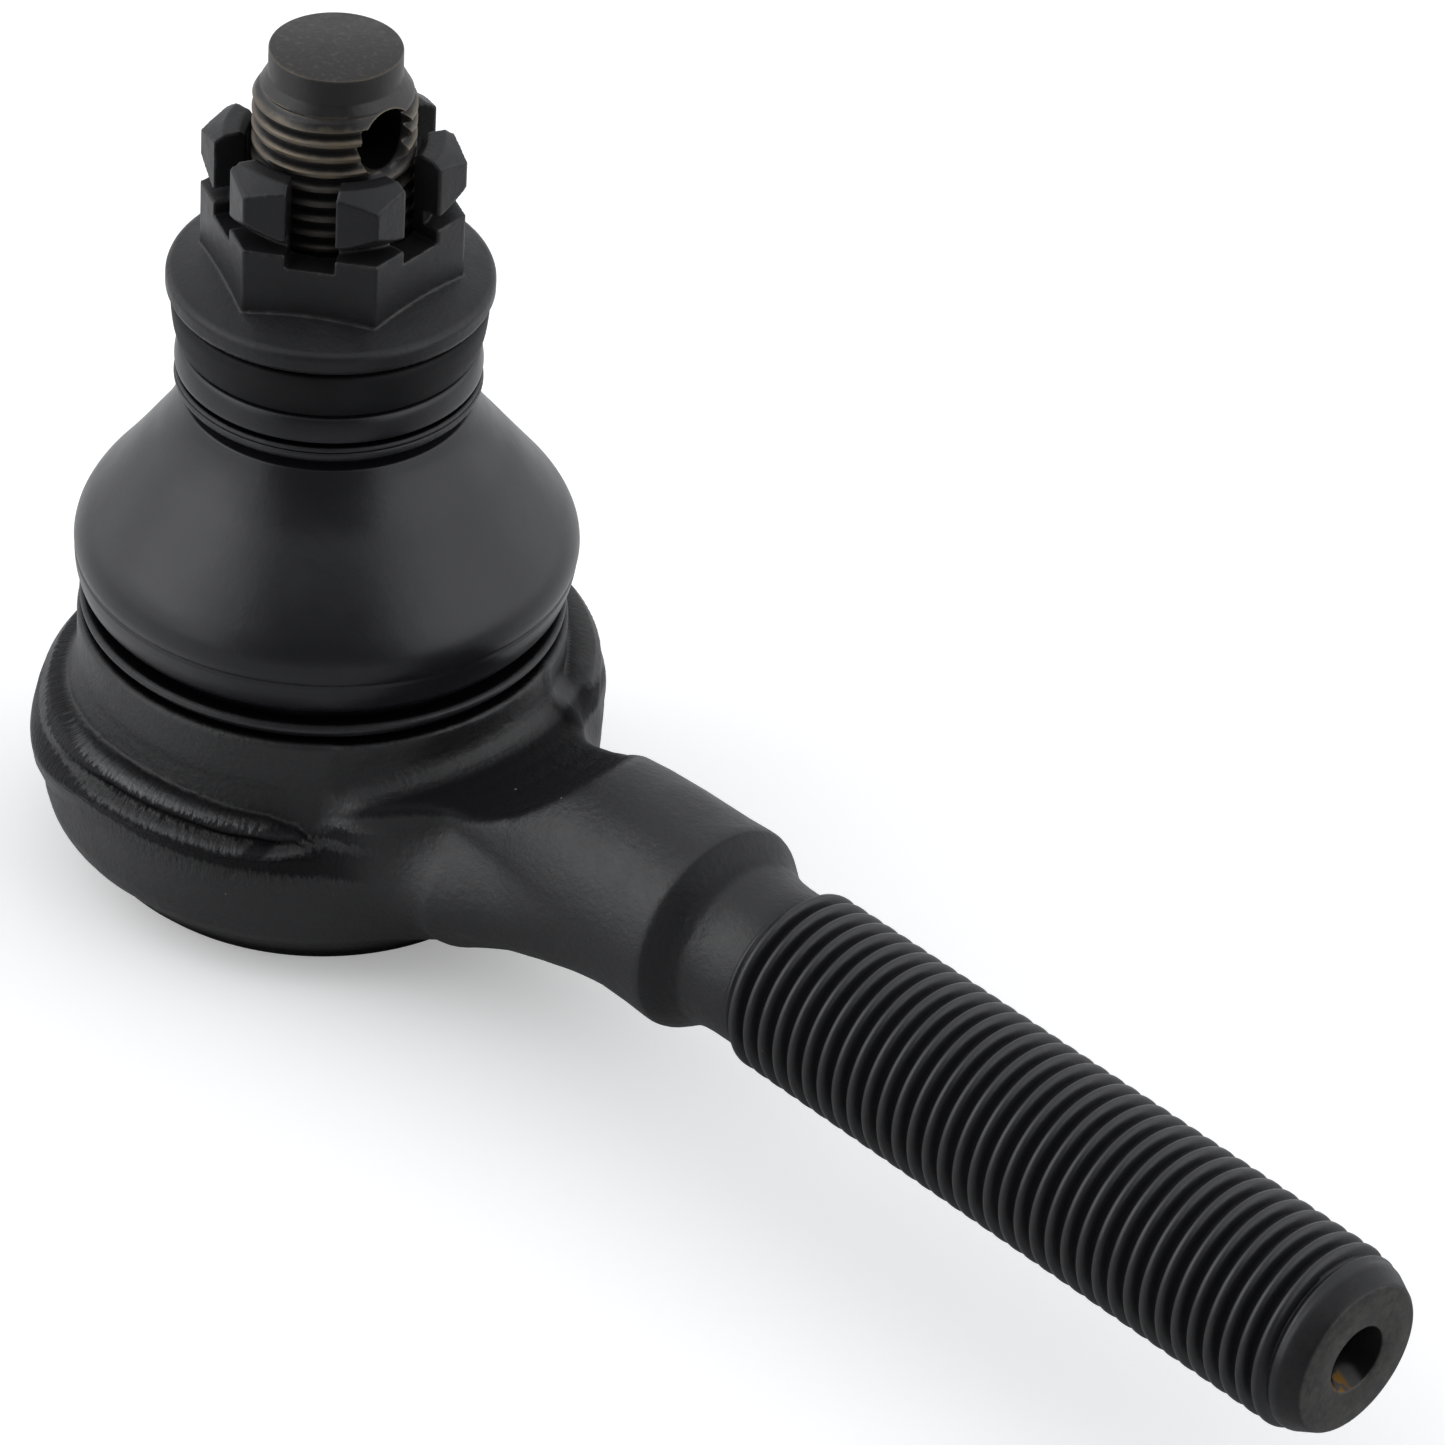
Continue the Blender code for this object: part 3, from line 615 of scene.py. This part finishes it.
def nut_coat(name):
    """Thin black coat, rubbed grey along the edges, with painted shade on its gloss in crevices."""
    finish = Finish(name)
    wear = finish.times(finish.edges(0.35, 0.86, 0.985), finish.ramp(finish.noise(1.6, 4), 0.35, 0.7))
    base = finish.mix(finish.noise(5.0, 5), (0.008, 0.008, 0.009), (0.016, 0.016, 0.0175))
    base = finish.mix(finish.specks(2.0, 0.08, 0.05), base, (0.35, 0.34, 0.3))
    finish.set("Base Color", finish.mix(wear, base, (0.13, 0.125, 0.12)))
    finish.set("Metallic", 0.1)
    # painted shade: the gloss is cut in crevices
    finish.set("Specular IOR Level", finish.scaled(finish.crevice(3.5), 0.38, 0.04))
    finish.set("Roughness", finish.scaled(finish.noise(1.5, 4), 0.25, 0.27))
    finish.bump((finish.noise(0.35, 3), 0.02), (finish.noise(1.3, 3), 0.04))
    return finish.material


def plain_detail(name, light, dark, roughness, metallic):
    """For the pieces inside: small colour changes, fine scratches and a varied shine."""
    finish = Finish(name)
    finish.set("Base Color", finish.mix(finish.noise(4.0, 5), light, dark))
    finish.set("Roughness", finish.scaled(finish.noise(1.5, 4), 0.25, roughness - 0.12))
    finish.set("Metallic", metallic)
    finish.bump((finish.noise(0.6, 4, stretch=(1, 1, 6)), 0.015))
    return finish.material


# ---------------------------------------------------------------- the housing


# Outlines are (distance from the stud's axis, height). INNER and ABOVE lie past what is shown
INNER, ABOVE = -5, 20
LEDGE, LEDGE_R = 5.6, 18.5
SOCKET_R, MOUTH_R, BOOT_GROOVE_R, NECK_TOP = 14.3, 12.4, 15.3, 10.0

HOUSING_FOOT = [(INNER, UNDERSIDE), (16.4, UNDERSIDE), (16.65, -15.4), (17.5, -14.55), (18.5, -13.3)]
HOUSING_FOOT += [(19.5, -12.0), (20.2, -11.3), (20.5, -11.15), (20.8, -10.6), (21.05, -9.6), (21.0, -8.2)]
HOUSING_SIDE = [(20.92, -7.0), (20.75, -5.6), (20.35, -4.0), (19.75, -2.3), (19.1, -0.8), (18.7, 0.3)]
HOUSING_SIDE += [(18.52, 1.2)]
HOUSING_NECK = [(LEDGE_R, 5.25), (18.15, LEDGE), (BOOT_GROOVE_R, LEDGE), (BOOT_GROOVE_R, 8.6), (16.1, 8.65)]
HOUSING_NECK += [(16.3, 8.9), (16.3, 9.5), (15.8, NECK_TOP), (INNER, NECK_TOP)]
CAVITY = [(INNER, -20), (INNER, 12.5), (12.0, 12.5), (10.6, NECK_TOP), (9.3, 7.0), (SOCKET_R, 7.0)]
CAVITY += [(SOCKET_R, -14.7), (MOUTH_R, -14.7), (MOUTH_R, -20)]

# How far the collar stands out, from its lower edge (0) to its foot on the neck (1), and where these run
COLLAR_HEIGHT = [0, 0.1, 0.22, 0.32, 0.4, 0.48, 0.55, 0.6, 0.66, 0.72, 0.78, 0.85, 0.9, 0.95, 0.98, 1]
COLLAR_REACH = [0, 0.12, 0.45, 0.95, 1.6, 2.15, 2.2, 2.0, 1.5, 1.2, 1.55, 1.85, 1.8, 1.5, 1.1, 0]
COLLAR_TURN = [38, 41, 47, 54, 62, 70, 80, 90, 100, 120, 140]
COLLAR_LOWER = [-3.8, -3.8, -4.1, -4.5, -5.0, -5.1, -5.4, -5.6, -6.2, -9.0, -11.0]
COLLAR_UPPER = [-3.2, -2.8, -1.2, -0.65, -0.6, -0.4, -0.3, -0.3, -0.5, -1.0, -1.3]
# On the far side of the arm the collar starts sooner and stands higher
FAR_HEIGHT = [0, 0.25, 0.5, 0.85, 0.95, 1]
FAR_REACH = [0, 1.5, 2.4, 2.65, 2.1, 0]
FAR_TURN = [16, 40, 90, 130, 150]
FAR_LOWER = [-4.0, -4.4, -5.5, -9.0, -11.0]
FAR_UPPER = [1.0, 2.4, 2.2, 0.0, -1.3]

# The recess that the arm's top carries round the boot
RECESS = [(INNER, ABOVE), (35.0, ABOVE), (33.4, 12.0), (32.2, 9.2), (31.0, 7.4), (29.6, 5.7), (28.0, 4.3)]
RECESS += [(26.0, 3.1), (24.0, 2.4), (22.0, 2.1), (20.5, 2.15), (19.5, 2.45), (18.9, 2.95), (18.6, 3.6)]
RECESS += [(LEDGE_R, 4.4), (LEDGE_R, LEDGE), (INNER, LEDGE)]

# The arm as (half thickness, distance along the shank)
ARM_START, ARM_END = 6.0, 51.0
ARM = [(INNER, ARM_START), (INNER, ARM_END), (6.1, ARM_END), (6.12, 48.0), (6.2, 46.9), (6.42, 45.9)]
ARM += [(6.85, 45.0), (7.6, 43.9), (7.92, 43.4), (8.05, 43.0), (8.05, 42.5), (7.95, 40.5), (7.9, 36.0)]
ARM += [(7.75, 32.5), (7.5, 29.8), (7.2, 27.5), (7.1, 24.0), (7.1, ARM_START)]


def collar_reach(turn, far, z):
    """How far the forged collar and its trimmed edge stand out from the plain side."""
    low = np.where(far, np.interp(turn, FAR_TURN, FAR_LOWER), np.interp(turn, COLLAR_TURN, COLLAR_LOWER))
    high = np.where(far, np.interp(turn, FAR_TURN, FAR_UPPER), np.interp(turn, COLLAR_TURN, COLLAR_UPPER))
    level = (z - low) / np.maximum(high - low, 0.1)
    plump = np.interp(level, FAR_HEIGHT, FAR_REACH)
    beads = np.interp(level, COLLAR_HEIGHT, COLLAR_REACH) * smoothstep(38, 54, turn)
    near_side = beads + (plump - beads) * smoothstep(88, 128, turn)
    far_side = plump * smoothstep(16, 34, turn)
    reach = np.where(far, far_side, near_side) * (1 - 0.48 * smoothstep(95, 135, turn))
    trim = 0.14 * smoothstep(-0.12, 0.12, z - low) * smoothstep(2.4, 0.6, z - low)
    return reach + trim * smoothstep(18, 28, turn) * smoothstep(95, 70, turn)


def arm_thickening(x, y, z):
    """How far the arm swells below and flares at its flanks towards the body, over its round section."""
    rho = np.maximum(np.hypot(y, z), 0.1)
    under = smoothstep(-0.1, 0.65, -z / rho)
    swell = 0.2 + 4.9 * np.clip((38 - x) / 14.7, 0, 1.02) ** 1.6
    flank = smoothstep(0.35, 0.9, np.abs(y) / rho) * (1 - under)
    flare = 6.0 * np.clip((22.5 - x) / 6.5, 0, 1.3) ** 1.5 * smoothstep(3.6, 1.0, z) * smoothstep(11, 19, x)
    return under * swell + flank * flare


def housing_field():
    low, high = (-0.5, -21.0), (40.0, 14.0)
    outside = Section(HOUSING_FOOT + HOUSING_SIDE + HOUSING_NECK, low, high)
    cavity = Section(CAVITY, low, high)
    recess = Section(RECESS, low, high)
    arm = Section(ARM, (-0.5, 4.0), (26.0, 53.0))

    def field(x, y, z):
        r = np.hypot(x, y)
        turn = np.abs(np.degrees(np.arctan2(y, x)))
        body = outside(r - collar_reach(turn, y > 0, z), z)
        inside_body = 14 * smoothstep(14, 3, x)
        arm_distance = arm(np.hypot(y, z) - arm_thickening(x, y, z), x) + inside_body
        shape = np.maximum(soft_min(body, arm_distance, 3.2), UNDERSIDE - z)
        on_arm = np.where(y > 0, smoothstep(30, 20, turn), smoothstep(50, 36, turn))
        dip = 1.5 * (turn / 40) ** 2 * smoothstep(5.2, 3.4, z)
        cut = soft_max(shape, -recess(r, z + dip) - 3.0 * (1 - on_arm), 0.9)
        return soft_max(np.where(on_arm > 0, cut, shape), -cavity(r, z), 0.12)

    return field


def make_housing():
    step = 0.3
    room = 23.8
    low, high = (-room, -room, UNDERSIDE - 0.7), (ARM_END + 1.0, room, NECK_TOP + 0.8)
    chunk = polygonise(housing_field(), low, high, step)
    coat = forged_coat("forged_black_coat", (0.0105, 0.0105, 0.0115), 0.4)
    piece("housing_forging", chunk, coat, "housing", "housing", sharp=None, weld=False)


def thread_radius(crest, root, start, end, start_r, end_r, lead):
    """Radius over a thread's phase, round on the crest and flat in the root, fading out at both ends."""

    def radius(phase, height):
        wave = 0.5 - 0.5 * np.cos(math.tau * phase)
        wave = np.clip(1.18 * wave**0.8 - 0.06, 0, 1)
        deep = root + (crest - root) * wave
        enter = smoothstep(start, start + lead, height)
        leave = smoothstep(end, end - lead, height)
        deep = start_r + (deep - start_r) * enter
        return end_r + (deep - end_r) * leave

    return radius


def make_shank_thread():
    columns = 112
    start, end = SHANK_THREAD_START, SHANK_THREAD_END
    radius = thread_radius(SHANK_CREST, SHANK_ROOT, start + 0.1, end, 6.0, 6.6, 1.3)
    skin = thread(start, end, SHANK_PITCH, radius, columns)
    chamfer = [(6.6, end), (6.55, 104.4), (6.0, 105.5), (5.88, 105.75), (5.75, 105.9), (5.55, SHANK_END)]
    centre_hole = [(2.75, SHANK_END), (2.62, 105.95), (2.5, 105.8), (1.3, 103.7), (1.2, 103.3), (1.15, 100.6)]
    points, faces = joined(skin, lathe(chamfer + centre_hole + [(0, 100.0)], columns))
    chunk = laid_along_x(points), faces
    coat = shank_steel("shank_black_coat")
    piece("shank_thread", chunk, coat, "housing", "housing", sharp=50)


# ---------------------------------------------------------------- stud and nut


def cross_hole(obj):
    """Cuts the cotter hole and the countersinks at its mouths."""
    half = [(1.75, 3.4), (2.65, 5.7), (3.5, 7.2), (0, 7.2)]
    profile = [(r, -h) for r, h in reversed(half)] + [(1.75, 0)] + half
    points, faces = lathe(profile, 48)
    spin = np.array(Matrix.Rotation(CROSS_HOLE_TURN, 3, "Z"))
    mesh = new_mesh("cross_hole_shape", laid_along_x(points) @ spin.T + (0, 0, CROSS_HOLE_HEIGHT), faces)
    builder = bmesh.new()
    builder.from_mesh(mesh)
    bmesh.ops.remove_doubles(builder, verts=builder.verts, dist=1e-6)
    bmesh.ops.recalc_face_normals(builder, faces=builder.faces)
    builder.to_mesh(mesh)
    builder.free()
    cutter = link_object("cross_hole_shape", mesh)
    modifier = obj.modifiers.new("cross_hole", "BOOLEAN")
    modifier.operation, modifier.solver, modifier.object = "DIFFERENCE", "EXACT", cutter
    bpy.context.view_layer.update()
    evaluated = obj.evaluated_get(bpy.context.evaluated_depsgraph_get())
    cut = bpy.data.meshes.new_from_object(evaluated)
    obj.modifiers.clear()
    obj.data = cut
    bpy.data.objects.remove(cutter)


def make_stud():
    columns = 96
    start, end = STUD_THREAD_START, STUD_THREAD_END
    ball = [(0, -7.4), (7.6, -7.4)] + arc((0, 0), BALL_R, -42.3, 59.0, 40)
    neck = rounded([(5.62, 9.6), (5.45, 10.4), (5.5, 12.0)])
    neck += rounded([(5.5, 12.0), (5.6, 14.5), (6.0, 16.6), (6.7, 18.2), (7.1, 19.0)])
    taper = [(6.25, 32.6), (6.1, 32.9), (5.2, start)]
    full = thread_radius(STUD_CREST, STUD_ROOT, start, end, 5.2, 5.9, 0.9)

    def radius(phase, height):
        return np.minimum(full(phase, height), 4.92 + 0.56 * (end - height))

    skin = thread(start, end, STUD_PITCH, radius, columns)
    point = [(4.92, end), (4.88, 52.35), (4.87, 54.1), (4.83, 54.2), (4.72, STUD_TOP), (0, STUD_TOP)]
    chunk = joined(lathe(ball + neck + taper, columns), skin, lathe(point, columns))
    steel = stud_steel("stud_worn_black")
    piece("ball_stud_steel", chunk, steel, "stud", "ball_stud", sharp=40, cut=cross_hole)


NUT_FLANGE = [(INNER, 33.8), (11.6, 33.8), (11.95, 33.95), (12.1, 34.3), (12.1, 35.1), (11.98, 35.4)]
NUT_FLANGE += [(11.7, 35.6), (8.5, 36.6), (7.0, 37.1), (INNER, 37.1)]
HEX_TOP, CROWN_BOTTOM, CROWN_TOP, SLOT_BOTTOM = 41.45, 42.6, 47.05, 40.35
NUT_BORE_R = 6.3


def nut_field():
    flange = Section(NUT_FLANGE, (-0.5, 32.0), (15.0, 39.0), 0.05)
    normals = [NUT_CORNER + math.radians(30 + 60 * i) for i in range(3)]

    def field(x, y, z):
        r = np.hypot(x, y)
        across = [x * math.cos(a) + y * math.sin(a) for a in normals]
        along = [-x * math.sin(a) + y * math.cos(a) for a in normals]
        hexagon = np.maximum.reduce([np.abs(a) for a in across]) - NUT_ACROSS_FLATS / 2
        wrench_part = np.maximum(hexagon, np.maximum(36.0 - z, z - HEX_TOP))
        waist = np.maximum(r - 7.4, np.maximum(36.0 - z, z - 45.0))
        crown_above = np.maximum(z - CROWN_TOP, (z - CROWN_TOP + 0.66 * (r - 8.0)) / 1.2)
        crown_below = np.maximum(CROWN_BOTTOM - z, (CROWN_BOTTOM - z + 1.1 * (r - 8.7)) / 1.49)
        crown = np.maximum(np.maximum(hexagon, crown_above), crown_below)
        shape = np.minimum(np.minimum(flange(r, z), wrench_part), np.minimum(waist, crown))
        for v in along:
            slot = np.maximum(np.abs(v) - NUT_SLOT_WIDTH / 2, SLOT_BOTTOM - z)
            shape = np.maximum(shape, -slot)
        top_mouth = (r - NUT_BORE_R - 1.2 * (z - 46.6)) / 1.56
        bottom_mouth = (r - NUT_BORE_R + 1.0 * (z - 34.6)) / 1.41
        bore = np.minimum(np.minimum(r - NUT_BORE_R, top_mouth), bottom_mouth)
        return np.maximum(shape, -bore)

    return field


def make_nut():
    step = 0.17
    room = 13.2
    chunk = polygonise(nut_field(), (-room, -room, 33.2), (room, room, 48.6), step)
    coat = nut_coat("nut_black_coat")
    piece("castle_nut_steel", chunk, coat, "nut", "castle_nut", sharp=None, weld=False)


# ---------------------------------------------------------------- boot, rings and the pieces inside


def make_boot():
    foot = rounded([(16.7, 6.3), (16.65, 6.6), (16.7, 7.4), (16.85, 7.9), (17.2, 8.15), (17.7, 8.25)], 4)
    bulge = rounded([(18.0, 8.45), (18.4, 9.1), (18.7, 10.2), (18.82, 11.3)], 5)
    bell = [(18.72, 11.5), (18.85, 11.9), (18.88, 12.6), (18.65, 13.6), (18.05, 14.75), (17.0, 16.1)]
    bell += [(15.7, 17.7), (14.3, 19.4), (12.95, 21.0), (11.95, 22.5), (11.35, 23.6), (11.0, 24.4)]
    bell += [(10.85, 24.75)]
    groove = [(10.7, 24.86), (9.95, 24.92), (9.8, 25.1), (9.8, 25.75), (10.3, 25.85), (10.3, 27.3)]
    band = [(10.5, 27.4), (11.1, 27.45)]
    band += rounded([(11.35, 27.6), (11.4, 28.0), (11.3, 28.8), (11.1, 29.4), (10.7, 29.6), (10.2, 29.7)], 4)
    inside = [(8.2, 29.7), (8.2, 25.4), (9.2, 24.0), (10.6, 22.3), (12.8, 19.3), (15.2, 16.2), (16.8, 13.6)]
    inside = rounded(inside, 4)
    inside += rounded([(17.2, 11.6), (17.0, 10.2), (16.75, 8.4), (15.8, 8.1), (15.6, 7.6), (15.6, 6.3)], 3)
    outline = foot + bulge + rounded(bell, 6) + groove + band + inside
    points, faces = lathe(outline, 168, closed=True)
    sag = np.sin(math.pi * np.clip((points[:, 2] - 7.0) / 17.5, 0, 1)) ** 2
    points[:, :2] += sag[:, None] * BOOT_SAG
    coat = rubber("boot_satin_rubber", (0.0085, 0.0085, 0.0105), 0.31)
    bends = ("boot", "boot_neck", 9.0, 25.0)
    piece("dust_boot_rubber", (points, faces), coat, bends, "dust_boot", sharp=50)


def make_rings():
    coat = black_coat("ring_black_coat", (0.011, 0.011, 0.0125), 0.36)
    lower = [(17.1, 5.95), (17.75, 5.95)]
    lower += rounded([(17.85, 6.3), (18.1, 6.42), (18.3, 6.6), (18.33, 6.85)], 4)
    lower += rounded([(18.25, 7.05), (18.05, 7.2), (17.8, 7.25)], 4) + [(17.1, 7.25)]
    piece("boot_lower_garter", lathe(lower, 160, True), coat, "housing", "boot_lower_ring")
    upper = [(10.45, 25.9)]
    upper += rounded([(11.0, 25.9), (11.3, 26.05), (11.42, 26.35), (11.4, 26.6), (11.28, 26.7)], 4)
    upper += rounded([(11.36, 26.8), (11.34, 26.95), (11.2, 27.08), (11.0, 27.12)], 4) + [(10.45, 27.12)]
    piece("boot_upper_garter", lathe(upper, 128, True), coat, "boot_neck", "boot_upper_ring")


def make_lip():
    lip = [(7.8, 29.8), (10.6, 29.75), (11.05, 29.8)]
    lip += rounded([(11.2, 29.95), (11.5, 30.9), (11.65, 32.0), (11.7, 32.8), (11.55, 33.3), (11.1, 33.5)], 4)
    lip += [(7.8, 33.5)]
    # painted shade: the lip is darker and less shiny than the boot's rubber, standing in for the shadow under
    # the nut's flange
    coat = rubber("lip_rubber_painted_shade", (0.0055, 0.0055, 0.0065), 0.55, 0.22)
    piece("seal_lip_rubber", lathe(lip, 128, True), coat, "boot_neck", "seal_lip")


def make_inside():
    polymer = plain_detail("seat_acetal", (0.76, 0.75, 0.7), (0.62, 0.6, 0.54), 0.42, 0.0)
    spring = plain_detail("disc_spring_steel", (0.3, 0.3, 0.31), (0.2, 0.19, 0.19), 0.3, 0.9)
    cover = black_coat("cover_black_coat", (0.014, 0.014, 0.015), 0.38)
    seat_side = 14.0
    upper = [(seat_side, 0.6), (seat_side, 6.7), (9.55, 6.7)] + arc((0, 0), SEAT_R, 34.3, 3.1, 16)
    piece("upper_seat_liner", lathe(upper, 96, True), polymer, "housing", "upper_seat")
    lower = [(5.45, -11.2), (12.0, -11.2), (seat_side, -8.2), (seat_side, -0.1)]
    lower += arc((0, 0), SEAT_R, -0.5, -61.2, 28)
    piece("lower_seat_cup", lathe(lower, 96, True), polymer, "seat", "lower_seat")
    disc = [(6.2, -11.95), (11.5, -12.6), (11.5, -13.1), (6.2, -12.45)]
    piece("disc_spring", lathe(disc, 96, True), spring, "housing", "preload_spring")
    plate = [(0, -14.0), (9.3, -14.0), (10.1, -13.3), (14.0, -13.3), (14.0, -14.3), (10.6, -14.3)]
    plate += [(9.9, -14.9), (9.5, -15.0), (0, -15.0)]
    piece("end_cover_disc", lathe(plate, 112), cover, "housing", "end_cover")


# ---------------------------------------------------------------- stage, light and camera


def toward(azimuth, elevation):
    """The direction from the object to a camera or a lamp that stands at these angles."""
    level = math.cos(elevation)
    return Vector((math.sin(azimuth) * level, -math.cos(azimuth) * level, math.sin(elevation)))


def view_axes():
    """Unit vectors to the right, up and back from the camera."""
    back = toward(VIEW_AZIMUTH, VIEW_ELEVATION)
    right = Vector((0, 0, 1)).cross(back).normalized()
    up = back.cross(right)
    c, s = math.cos(VIEW_ROLL), math.sin(VIEW_ROLL)
    return right * c + up * s, up * c - right * s, back


def make_camera():
    right, up, back = view_axes()
    data = bpy.data.cameras.new("photo_view")
    data.sensor_width, data.lens = 36.0, LENS
    data.clip_start, data.clip_end = 0.01, 20.0
    camera = link_object("photo_view", data)
    place = Vector(PIVOT) + (Vector(VIEW_TARGET) + back * VIEW_DISTANCE) * MM
    turn = Matrix((right, up, back)).transposed().to_4x4()
    camera.matrix_world = Matrix.Translation(place) @ turn
    bpy.context.scene.camera = camera


def turn_from_camera(finish, x, y, aside=0.0):
    """How far round the object, in radians, a direction lies from the camera's own plus aside: 0 to pi."""
    azimuth = VIEW_AZIMUTH + aside
    along = finish.scaled(x, math.sin(azimuth), finish.times(y, -math.cos(azimuth)))
    across = finish.scaled(x, math.cos(azimuth), finish.times(y, math.sin(azimuth)))
    return finish.math("ARCTAN2", finish.math("ABSOLUTE", across), along)


def make_floor():
    """A pale floor, seen darker in reflections on the camera's side, where a studio has no reflector."""
    size, height = 3.0, PIVOT[2] + (UNDERSIDE - 0.02) * MM
    corners = [(-size, -size, height), (size, -size, height), (size, size, height), (-size, size, height)]
    mesh = bpy.data.meshes.new("floor")
    mesh.from_pydata(corners, [], [(0, 1, 2, 3)])
    finish = Finish("pale_floor")
    finish.set("Roughness", 0.9)
    finish.set("Specular IOR Level", 0.1)
    finish.set("Base Color", (0.95, 0.95, 0.95))
    x, y, _ = finish.axes()
    side = turn_from_camera(finish, x, y, math.radians(18))
    near = finish.ramp(finish.radius(x, y), 70, 220, 0.58, 0.8)
    shade = finish.times(finish.ramp(side, math.radians(85), math.radians(40), 0.15, 1.0), near)
    path = finish.tree.nodes.new("ShaderNodeLightPath")
    finish.set("Emission Color", (1.0, 1.0, 1.0))
    finish.set("Emission Strength", finish.times(path.outputs["Is Camera Ray"], 0.3))
    dark = finish.tree.nodes.new("ShaderNodeBsdfDiffuse")
    dark.inputs["Color"].default_value = (0.08, 0.08, 0.085, 1)
    blend = finish.tree.nodes.new("ShaderNodeMixShader")
    finish.link(finish.times(shade, path.outputs["Is Glossy Ray"]), blend.inputs[0])
    finish.link(finish.shader.outputs[0], blend.inputs[1])
    finish.link(dark.outputs[0], blend.inputs[2])
    finish.link(blend.outputs[0], finish.tree.nodes["Material Output"].inputs["Surface"])
    mesh.materials.append(finish.material)
    link_object("floor", mesh)


def make_light(name, azimuth, elevation, distance, size, power):
    """A square soft light that faces the object. Azimuth, in degrees, counts from the camera to its right."""
    direction = toward(VIEW_AZIMUTH + math.radians(azimuth), math.radians(elevation))
    data = bpy.data.lights.new(name, "AREA")
    data.shape, data.size, data.energy = "SQUARE", size, power
    light = link_object(name, data)
    aim = Vector(PIVOT) + Vector((30, 0, 10)) * MM
    turn = direction.to_track_quat("Z", "Y").to_matrix().to_4x4()
    light.matrix_world = Matrix.Translation(aim + direction * distance) @ turn


class Sky(Finish):
    """The same node helpers on the world."""

    def __init__(self, name):
        self.material = bpy.data.worlds.new(name)
        self.material.use_nodes = True
        self.tree = self.material.node_tree
        self.shader = self.tree.nodes["Background"]
        self.coordinates = self.tree.nodes.new("ShaderNodeTexCoord").outputs["Generated"]


def make_world():
    """A white tent: bright walls left and right, dimmer behind and above, and a dark gap at the camera."""
    sky = Sky("white_tent")
    split = sky.tree.nodes.new("ShaderNodeSeparateXYZ")
    sky.link(sky.coordinates, split.inputs[0])
    x, y, z = split.outputs
    side = turn_from_camera(sky, x, y)
    wall = sky.ramp(side, math.radians(29), math.radians(52), 0.1, 1.34)
    rear = sky.ramp(side, math.radians(120), math.radians(150), 0.0, 0.6)
    wall = sky.math("SUBTRACT", wall, rear)
    roof = sky.ramp(z, 0.72, 0.97)
    level = sky.scaled(roof, sky.math("SUBTRACT", 0.75, wall), wall)
    seen = sky.tree.nodes.new("ShaderNodeLightPath").outputs["Is Camera Ray"]
    level = sky.scaled(seen, sky.math("SUBTRACT", 1.0, level), level)
    sky.shader.inputs["Color"].default_value = (0.97, 0.98, 1.0, 1)
    sky.link(level, sky.shader.inputs["Strength"])
    bpy.context.scene.world = sky.material


def build():
    make_housing()
    make_shank_thread()
    make_stud()
    make_nut()
    make_boot()
    make_rings()
    make_lip()
    make_inside()
    make_floor()
    make_world()
    make_light("left_softbox", -84, 34, 1.1, 0.7, 1.3)
    make_light("right_softbox", 75, 30, 1.1, 0.7, 0.3)
    make_camera()
    bpy.context.scene.view_settings.view_transform = "Standard"


build()
